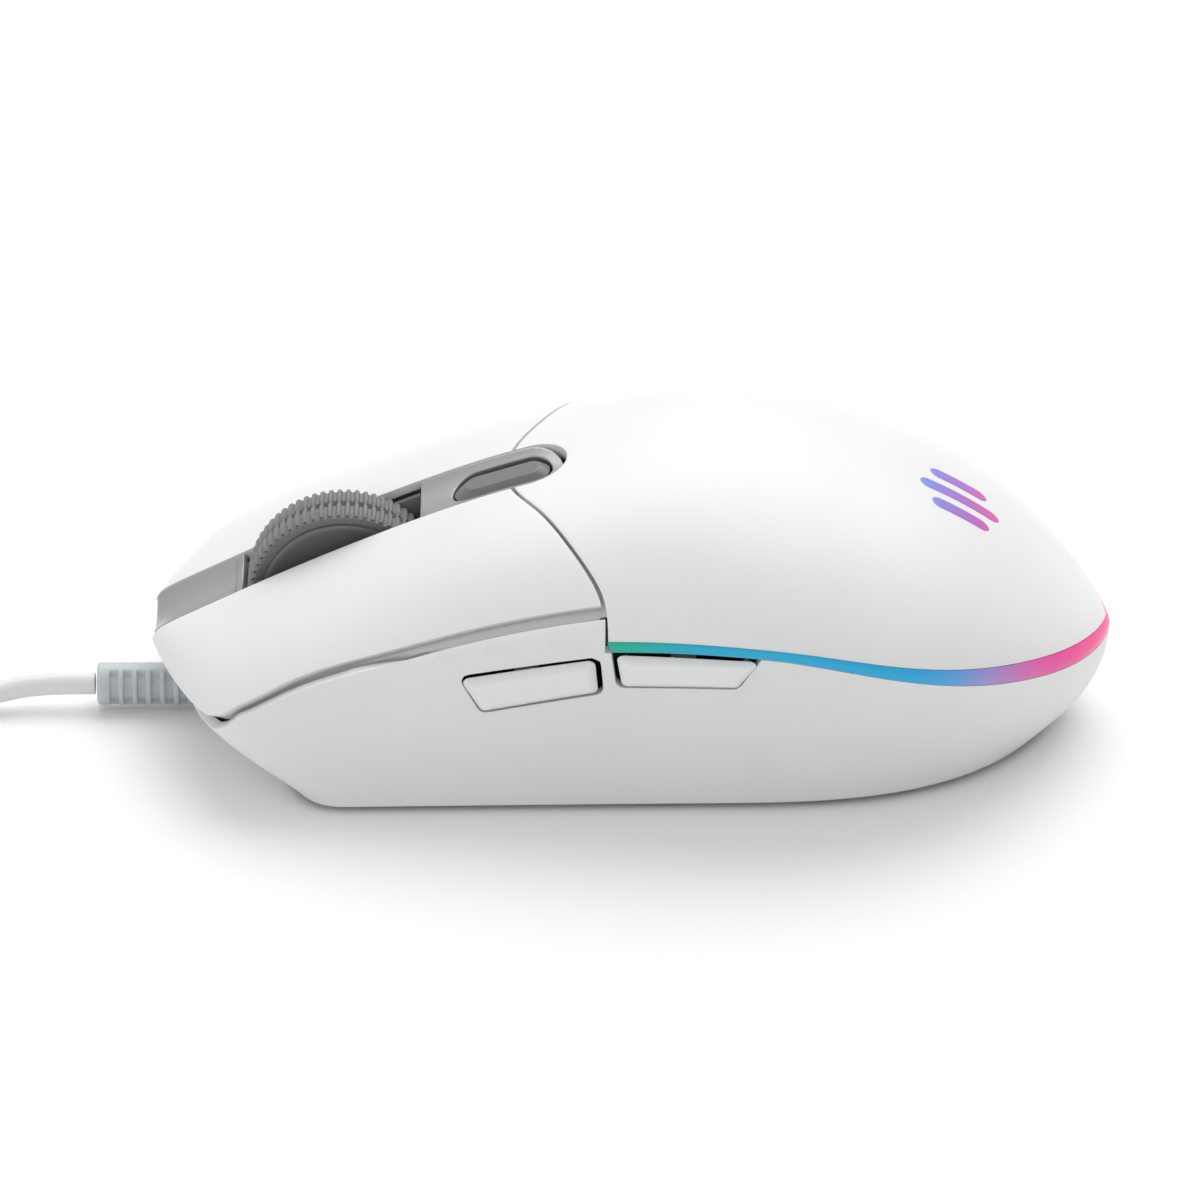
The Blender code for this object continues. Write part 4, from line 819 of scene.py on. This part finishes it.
def makeBand():
    piece = sheet("litBand", band["columns"], band["rows"], bandPlace)
    faceAwayFrom(piece, (20, 0, 15))
    thicken(piece, band["deep"], band["rim"])
    settle(piece, 40)
    return dress(piece, "bandLight", "case", "light_band", slot="light_guide")


makeBand()

print("centre strip")

wheel = {"x": -34.2, "radius": 11.8, "proud": 3.9, "wide": 6.4, "tyre": 1.8, "ribs": 68,
         "slotFront": 12.3, "slotRear": 9.2}
slot = {"front": wheel["x"] - wheel["slotFront"], "rear": wheel["x"] + wheel["slotRear"]}
mode = {"x": -15.1, "long": 11.4, "wide": 5.4, "proud": 0.9, "bevel": 1.2, "edge": 0.12,
        "deep": 3.0, "rim": 0.1, "columns": 96, "rows": 52, "spare": 1.0, "level": 4.0}


def wheelCentreZ():
    return float(topZ(np.array(wheel["x"]), np.array(0.0))) + wheel["proud"] - wheel["radius"]


def stripZ(x, y):
    edge = topZ(x, np.full_like(x, strip["half"]))
    return edge - strip["dip"] * (1 - np.minimum(np.abs(y) / strip["half"], 1.0) ** 2)


def onStrip(points):
    return np.stack([points[:, 0], points[:, 1], stripZ(points[:, 0], points[:, 1])], -1)


def modeDistance(x, y, clearance=0.0):
    return stadiumDistance(x, y, (mode["x"], 0), mode["long"] + 2 * clearance,
                           mode["wide"] + 2 * clearance)


def makeStrip():
    def place(u, v):
        x = strip["front"] + (strip["end"] - strip["front"]) * u
        y = (2 * v - 1) * strip["half"]
        return np.stack([x, y, stripZ(x, y)], -1)

    for name, keep in (("stripNose", lambda points: points[:, 0] - slot["front"]),
                       ("stripTail", lambda points: slot["rear"] - points[:, 0])):
        piece = sheet(name, strip["columns"], strip["rows"], place)
        cutAlong(piece, keep, onStrip, keepInside=True)
        if name == "stripTail":
            cutAlong(piece, lambda points: stripOutline(points, 0.0), onStrip, keepInside=True)
            cutAlong(piece, lambda points: modeDistance(points[:, 0], points[:, 1], gap), onStrip)
        faceAwayFrom(piece, (-30, 0, -60))
        thicken(piece, strip["wall"], strip["rim"], 2)
        settle(piece)
        dress(piece, "satinGrey", "case", "centre_strip", slot="satin_grey")


makeStrip()

print("ledges inside the seams")

ledge = {
    "under": 2.1, "thick": 0.8, "low": -1.6, "high": 0.4, "front": -51.5, "rear": -3.4,
    "seamUnder": 1.5, "seamWide": 2.4, "seamAhead": 0.45, "seamInner": strip["half"] + 0.8,
    "seamOuter": halfWidth(np.array(-3.0)) - 2.6, "columns": 80, "rows": 6,
}


# upward unit normal of the top form
def topNormal(x, y):
    step = 0.01
    slopeX = (topZ(x + step, y) - topZ(x - step, y)) / (2 * step)
    slopeY = (topZ(x, y + step) - topZ(x, y - step)) / (2 * step)
    out = np.stack([-slopeX, -slopeY, np.ones_like(x)], -1)
    return out / np.linalg.norm(out, axis=1, keepdims=True)


def makeLedges():
    for side in (1, -1):
        def groovePlace(u, v):
            x = ledge["front"] + (ledge["rear"] - ledge["front"]) * u
            rise = seamRise(x / half) + ledge["low"] + (ledge["high"] - ledge["low"]) * v
            over = risePoint(x, np.maximum(rise, 0.0))
            under = wallPoint(turnAt(x / half), np.maximum(-rise, 0.0))
            point = np.where((rise > 0)[:, None], over, under)
            point[:, :2] += inwardFrom(point[:, 0], point[:, 1]) * ledge["under"]
            return point * np.array([1, side, 1])

        def seamPlace(u, v):
            y = ledge["seamInner"] + (ledge["seamOuter"] - ledge["seamInner"]) * u
            x = seamX(y, 0.0) + (v - ledge["seamAhead"]) * ledge["seamWide"]
            point = np.stack([x, y, topZ(x, y)], -1) - topNormal(x, y) * ledge["seamUnder"]
            return point * np.array([1, side, 1])

        for name, place in (("groove", groovePlace), ("seam", seamPlace)):
            piece = sheet(f"{name}Ledge{'Right' if side > 0 else 'Left'}", ledge["columns"],
                          ledge["rows"], place)
            faceAwayFrom(piece, (-25, 0, 5))
            thicken(piece, ledge["thick"], 0)
            settle(piece)
            dress(piece, "whiteShell", "case", slot="white_shell")


makeLedges()

slotFrame = {"under": 1.5, "wide": 0.7, "deep": 4.5, "rim": 0.1, "end": 0.9, "clear": 0.5,
             "arc": 24.0, "lip": 0.35, "inset": 0.03, "play": 0.05}


# recessed rails beside the wheel and the walls at both ends of its slot
def makeSlotFrame():
    pieces = []
    for side in (1, -1):
        def railPlace(u, v):
            x = slot["front"] + slotFrame["play"] + (slot["rear"] - slot["front"]
                                                     - 2 * slotFrame["play"]) * u
            y = side * (strip["half"] - slotFrame["wide"] * v)
            z = topZ(x, np.full_like(x, strip["half"])) - slotFrame["under"]
            return np.stack([x, y, z], -1)

        rail = sheet("slotRail", 30, 2, railPlace)
        faceAwayFrom(rail, (-30, 0, -60))
        thicken(rail, slotFrame["deep"], slotFrame["rim"], 2)
        pieces.append(rail)
    # curved shields that follow the wheel down from both ends of the slot
    reach = wheel["radius"] + slotFrame["clear"]
    for at, way in ((slot["front"], -1), (slot["rear"], 1)):
        start = math.acos((at - wheel["x"]) / reach)
        end = start - way * math.radians(slotFrame["arc"])

        def shieldPlace(u, v):
            y = (2 * v - 1) * (strip["half"] - slotFrame["wide"] - 0.02)
            high = stripZ(np.full_like(y, at), y) - slotFrame["lip"]
            low = wheelCentreZ() + reach * math.sin(start)
            turn = start + (end - start) * np.clip(u * 1.3 - 0.3, 0, 1)
            upper = np.clip(1 - u / 0.2308, 0, 1)  # the first rows stand upright under the strip
            x = np.where(upper > 0, at + way * slotFrame["inset"],
                         wheel["x"] + reach * np.cos(turn))
            z = np.where(upper > 0, np.maximum(low + (high - low) * upper, low),
                         wheelCentreZ() + reach * np.sin(turn))
            return np.stack([x, y, z], -1)

        shield = sheet("slotShield", 26, 8, shieldPlace)
        faceAwayFrom(shield, (at + way * 20, 0, wheelCentreZ() - 3))
        thicken(shield, slotFrame["end"], 0)
        pieces.append(shield)
    piece = joinAll(pieces, "slotFrame")
    settle(piece)
    return dress(piece, "slotGrey", "case", slot="satin_grey")


makeSlotFrame()

print("mode button")


def makeModeButton():
    def lay(x, y):
        level = mode["level"]
        flat = stripZ(np.array([mode["x"] - level, mode["x"] + level]), np.zeros(2))
        base = flat.mean() + (x - mode["x"]) * (flat[1] - flat[0]) / (2 * level)
        bevel = np.clip(-modeDistance(x, y) / mode["bevel"], 0, 1)
        rise = mode["proud"] * (bevel - mode["edge"] * (1 - bevel) ** 2)
        return np.stack([x, y, base + rise], -1)

    def place(u, v):
        return lay(mode["x"] + (u - 0.5) * (mode["long"] + mode["spare"]),
                   (v - 0.5) * (mode["wide"] + mode["spare"]))

    piece = sheet("modeButtonCap", mode["columns"], mode["rows"], place)
    cutAlong(piece, lambda points: modeDistance(points[:, 0], points[:, 1]),
             lambda points: lay(points[:, 0], points[:, 1]), keepInside=True)
    faceAwayFrom(piece, (mode["x"], 0, 0))
    thicken(piece, mode["deep"], mode["rim"], 2)
    settle(piece, 20)
    return dress(piece, "modeGrey", "dpi_button", "dpi_button", slot="dark_plastic")


makeModeButton()

print("scroll wheel")

tread = {"perRib": 6, "rows": 16, "shoulder": 0.35, "ribDeep": 0.42, "grooveAt": -0.25,
         "grooveWide": 0.34, "grooveDeep": 0.25, "grooveBetween": 0.55, "thin": 0.5}
disc = {"around": 96, "play": 0.1, "recess": 0.3, "rim": 0.12,
        "steps": ((0.5, 0.0), (0.7, -0.35), (4.6, -0.25), (0.5, 0.35), (1.1, 0.0))}  # inset, depth


def makeWheel():
    centre = np.array([wheel["x"], 0.0, wheelCentreZ()])
    halfWide = wheel["wide"] / 2

    def place(u, v):
        turn = 2 * math.pi * u
        y = (2 * v - 1) * halfWide
        cycle = (u * wheel["ribs"]) % 1.0
        rib = np.clip(1.6 - np.abs(cycle - 0.5) * 4.4, 0, 1)  # one rounded rib a pitch
        groove = np.exp(-((y - tread["grooveAt"]) / tread["grooveWide"]) ** 4)
        shoulderDrop = tread["shoulder"] * (np.abs(y) / halfWide) ** 6
        grooveDepth = groove * (tread["grooveDeep"] + tread["grooveBetween"] * (1 - rib))
        radius = wheel["radius"] - ((1 - rib) * tread["ribDeep"] + grooveDepth) - shoulderDrop
        return centre + np.stack([radius * np.cos(turn), y, radius * np.sin(turn)], -1)

    tyre = sheet("wheelTread", wheel["ribs"] * tread["perRib"], tread["rows"], place, ring=True)
    faceAwayFrom(tyre, centre)
    thicken(tyre, wheel["tyre"] - tread["thin"], 0)
    settle(tyre, 40)
    dress(tyre, "wheelRubber", "wheel", "wheel_tyre", slot="tyre_rubber")
    # hub: turned profile, smooth dished sides
    rim = wheel["radius"] - wheel["tyre"] - disc["play"]
    bpy.ops.object.select_all(action="DESELECT")
    bpy.ops.mesh.primitive_cylinder_add(vertices=disc["around"], radius=rim * mm,
                                        depth=(wheel["wide"] - disc["recess"]) * mm,
                                        location=centre * mm, rotation=(math.pi / 2, 0, 0))
    hub = bpy.context.object
    hub.name = "wheelDisc"
    bpy.ops.object.transform_apply(location=True, rotation=True, scale=True)
    bpy.ops.object.mode_set(mode="EDIT")
    bpy.ops.mesh.select_mode(type="FACE")
    for side in (1, -1):
        for inset, depth in disc["steps"]:
            bpy.ops.mesh.select_all(action="DESELECT")
            shape = bmesh.from_edit_mesh(hub.data)
            shape.faces.ensure_lookup_table()
            for face in shape.faces:
                face.select = face.normal.y * side > 0.99 and len(face.verts) == disc["around"]
            bmesh.update_edit_mesh(hub.data)
            bpy.ops.mesh.inset(thickness=inset * mm, depth=depth * mm)
    bpy.ops.object.mode_set(mode="OBJECT")
    softenEdges(hub, disc["rim"], 2, 40)
    applyAll(hub)
    settle(hub)
    dress(hub, "wheelSide", "wheel", "wheel_hub", slot="wheel_hub")


makeWheel()

print("emblem")

emblem = {"x": 39.8, "bars": ((-3.6, 6.9), (0.0, 9.6), (3.6, 6.9)), "wide": 2.2, "proud": 0.07,
          "edge": 0.25, "fall": 0.06, "deep": 1.2, "spare": 0.6, "columns": 60, "rows": 20}


def makeEmblem():
    bars = []
    for i, (y, long) in enumerate(emblem["bars"]):
        def distance(points):
            centre = (emblem["x"], y)
            return stadiumDistance(points[:, 0], points[:, 1], centre, long, emblem["wide"])

        def lay(x, across):
            inside = -distance(np.stack([x, across], -1))
            fall = np.clip(1 - inside / emblem["edge"], 0, 1) ** 2 * emblem["fall"]
            return np.stack([x, across, topZ(x, across) + emblem["proud"] - fall], -1)

        def place(u, v):
            return lay(emblem["x"] + (u - 0.5) * (long + emblem["spare"]),
                       y + (v - 0.5) * (emblem["wide"] + emblem["spare"]))

        bar = sheet(f"emblemBar{i}", emblem["columns"], emblem["rows"], place)
        cutAlong(bar, distance, lambda points: lay(points[:, 0], points[:, 1]), keepInside=True)
        faceAwayFrom(bar, (20, 0, 0))
        thicken(bar, emblem["deep"], 0)
        settle(bar)
        bars.append(bar)
    return dress(joinAll(bars, "emblemBars"), "emblemLight", "case", "emblem_window",
                 slot="emblem_guide")


makeEmblem()

print("cord")

cord = {
    "diameter": 2.7,
    "layers": 4,
    "turnsPerLayer": 4,
    "climb": 1.0,  # share of a turn spent going from one layer to the next
    "outer": 22.0,
    "inner": 11.0,
    "rise": 2.7,
    "centre": (-108.0, 10.0),
    "low": 1.36,
    "pointsPerTurn": 24,
    "spacing": 2.0,
}
cableRoute = ((-64.8, 0.0, 3.2), (-69.0, 0.0, 3.15), (-73.5, -0.3, 2.9), (-78.0, -1.4, 2.3),
              (-82.5, -3.6, 1.7), (-87.0, -6.6, 1.4), (-91.0, -9.4, 1.36), (-94.5, -11.1, 1.36))
tailRoute = ((-121.5, -11.6, 8.2), (-126.5, -8.8, 6.9), (-131.5, -4.6, 5.5), (-135.8, 0.6, 4.4),
             (-138.6, 6.0, 3.9), (-139.7, 11.2, 3.8))


def coilPoints():
    turns = cord["layers"] * cord["turnsPerLayer"] + (cord["layers"] - 1) * cord["climb"]
    perLayer = cord["turnsPerLayer"] + cord["climb"]
    count = int(round(turns * cord["pointsPerTurn"]))
    points = []
    for i in range(count + 1):
        turned = turns * i / count
        layer = min(int(turned / perLayer + 1e-9), cord["layers"] - 1)
        within = turned - layer * perLayer
        share = min(within / cord["turnsPerLayer"], 1.0)
        climb = max(within - cord["turnsPerLayer"], 0.0) / cord["climb"]
        climb = climb * climb * (3 - 2 * climb)
        start, end = cord["outer"], cord["inner"]
        if layer % 2:
            start, end = end, start
        radius = start + (end - start) * share
        z = cord["low"] + cord["rise"] * (layer + climb)
        angle = -math.pi / 2 - 2 * math.pi * turned
        points.append((cord["centre"][0] + radius * math.cos(angle),
                       cord["centre"][1] + radius * math.sin(angle), z))
    return points


def smoothRoute(points, spacing):
    places = [0.0]
    for first, second in zip(points, points[1:]):
        places.append(places[-1] + math.dist(first, second))
    curves = [curveThrough([(place, point[k]) for place, point in zip(places, points)])
              for k in range(3)]
    count = max(int(round(places[-1] / spacing)), 2)
    return [tuple(float(curve(places[-1] * i / count)) for curve in curves)
            for i in range(count + 1)]


def makeCord():
    coil = coilPoints()
    lead = smoothRoute([*cableRoute, *coil[1:4]], cord["spacing"])
    tail = smoothRoute([*coil[-5:], *tailRoute], cord["spacing"])
    route = lead + coil[4:-5] + tail
    bpy.ops.object.select_all(action="DESELECT")
    line = bpy.data.curves.new("usbCord", "CURVE")
    line.dimensions = "3D"
    line.bevel_depth = cord["diameter"] / 2 * mm
    line.bevel_resolution = 4
    line.use_fill_caps = True
    spline = line.splines.new("POLY")
    spline.points.add(len(route) - 1)
    for point, place in zip(spline.points, route):
        point.co = (*(value * mm for value in place), 1)
    spline.use_smooth = True
    piece = bpy.data.objects.new("usbCord", line)
    bpy.context.scene.collection.objects.link(piece)
    dress(piece, "cableSheath", "case", "cable", "cable_coil", "cable_tail", slot="cable_sheath")
    length = sum(math.dist(first, second) for first, second in zip(route, route[1:])) * mm
    print("cord length", round(length, 3))
    return piece, length


cordPiece, cordLength = makeCord()


# pale sleeve with a collar and a row of grooves, from the tip to inside the nose
def makeStrainRelief():
    tip, root, radius = relief["tip"], relief["root"], relief["radius"]
    bore = cord["diameter"] / 2 + relief["bore"]
    low = radius - relief["deep"]
    profile = [(tip, bore), (tip, radius - relief["lip"]), (tip + relief["lip"], radius)]
    place = tip + relief["collar"]
    while place < root - relief["plain"]:
        profile += [(place, radius), (place + relief["slope"], low),
                    (place + relief["groove"] - relief["slope"], low),
                    (place + relief["groove"], radius)]
        place += relief["pitch"]
    profile += [(root, radius), (root, bore), profile[0]]

    def lay(u, v):
        index = np.clip(np.round(v * (len(profile) - 1)).astype(int), 0, len(profile) - 1)
        spots = np.array(profile)[index]
        turn = 2 * math.pi * u
        fromSpine = np.degrees(np.arccos(np.minimum(np.abs(np.sin(turn)), 1.0)))
        openness = np.clip((fromSpine - relief["spine"]) / relief["fade"], 0.0, 1.0)
        groove = np.abs(spots[:, 1] - low) < 1e-6
        spots[:, 1] = np.where(groove, radius - relief["deep"] * openness, spots[:, 1])
        return np.stack([spots[:, 0], spots[:, 1] * np.cos(turn),
                         relief["z"] + spots[:, 1] * np.sin(turn)], -1)

    piece = sheet("cordSleeve", relief["around"], len(profile) - 1, lay, ring=True)
    faceAwayFrom(piece, ((tip + root) / 2, 0, relief["z"]))
    softenEdges(piece, relief["rim"], 2, 40)
    applyAll(piece)
    settle(piece, 30)
    return dress(piece, "reliefGrey", "case", "strain_relief", slot="cable_sheath")


sleeve = makeStrainRelief()

print("parts that keep their packed shape")

carried = {
    "base_plate": "darkPlastic", "wheel_carrier": "innerPlastic", "scroll_encoder": "switchBlack",
    "cord_clip": "darkPlastic", "usb_grip": "whiteShell", "usb_shell": "plateSteel",
    "usb_tongue": "switchBlack", "sensor_lens": "lensClear", "cable_socket": "plungerWhite",
    "inner_lead": "cableSheath", "controller_chip": "switchBlack", "sensor_chip": "switchBlack",
    "main_board": "boardGreen", "side_board": "boardGreen", "light_board": "boardGreen",
    "wheel_axle": "plateSteel", "carrier_pin": "plateSteel", "carrier_spring": "plateSteel",
}
for name in ("front_left", "front_right", "rear_left", "rear_right"):
    carried[name + "_foot"] = "slipFoot"
for name in ("left", "right", "middle", "dpi", "forward", "back"):
    carried[name + "_switch"] = "switchBlack"
    carried[name + "_plunger"] = "plungerWhite"
for name in ("led_1", "led_2", "led_3", "led_4"):
    carried[name] = "ledClear"
for name in ("case_screw_1", "case_screw_2", "case_screw_3", "board_screw_1", "board_screw_2"):
    carried[name] = "plateSteel"
for name, finish in carried.items():
    nodes[name].data.materials.clear()
    nodes[name].data.materials.append(materials[finish])

print("studio")

studio = {
    "distance": 1000.0, "elevation": 30.0, "aim": (-3.4, 0.0, 14.9), "focal": 248.0, "sensor": 36.0,
    "floor": 0.92, "floorRough": 0.8, "floorSize": 6.0, "world": 0.7,
    "lamps": {"rearSoftbox": ((0.1, 0.55, 0.8), 1.2, 8.0),  # place and size in metres, then watts
              "noseSoftbox": ((-0.9, -0.3, 0.25), 0.5, 0.8)},
}


def makeStudio():
    world = bpy.data.worlds.new("studioWorld")
    bpy.context.scene.world = world
    world.use_nodes = True
    sky = world.node_tree.nodes["Background"]
    sky.inputs["Color"].default_value = (1, 1, 1, 1)
    sky.inputs["Strength"].default_value = studio["world"]
    bpy.ops.object.select_all(action="DESELECT")
    bpy.ops.mesh.primitive_plane_add(size=studio["floorSize"])
    floor = bpy.context.object
    floor.name = "deskFloor"
    paint = bpy.data.materials.new("palePaint")
    paint.use_nodes = True
    shader = paint.node_tree.nodes["Principled BSDF"]
    shader.inputs["Base Color"].default_value = (studio["floor"],) * 3 + (1,)
    shader.inputs["Roughness"].default_value = studio["floorRough"]
    floor.data.materials.append(paint)
    for name, (spot, size, power) in studio["lamps"].items():
        lamp = bpy.data.lights.new(name, "AREA")
        lamp.shape = "DISK"
        lamp.size = size
        lamp.energy = power
        box = bpy.data.objects.new(name, lamp)
        bpy.context.scene.collection.objects.link(box)
        box.location = spot
        box.rotation_euler = (-Vector(spot)).to_track_quat("-Z", "Y").to_euler()
    lens = bpy.data.cameras.new("studioCamera")
    lens.lens = studio["focal"]
    lens.sensor_width = studio["sensor"]
    lens.clip_start = 0.05
    camera = bpy.data.objects.new("studioCamera", lens)
    bpy.context.scene.collection.objects.link(camera)
    tilt = math.radians(studio["elevation"])
    aim = Vector(studio["aim"])
    camera.location = (aim + studio["distance"] * Vector((0, -math.cos(tilt), math.sin(tilt)))) * mm
    camera.rotation_euler = (aim * mm - camera.location).to_track_quat("-Z", "Y").to_euler()
    bpy.context.scene.camera = camera
    bpy.context.scene.view_settings.view_transform = "Standard"


makeStudio()
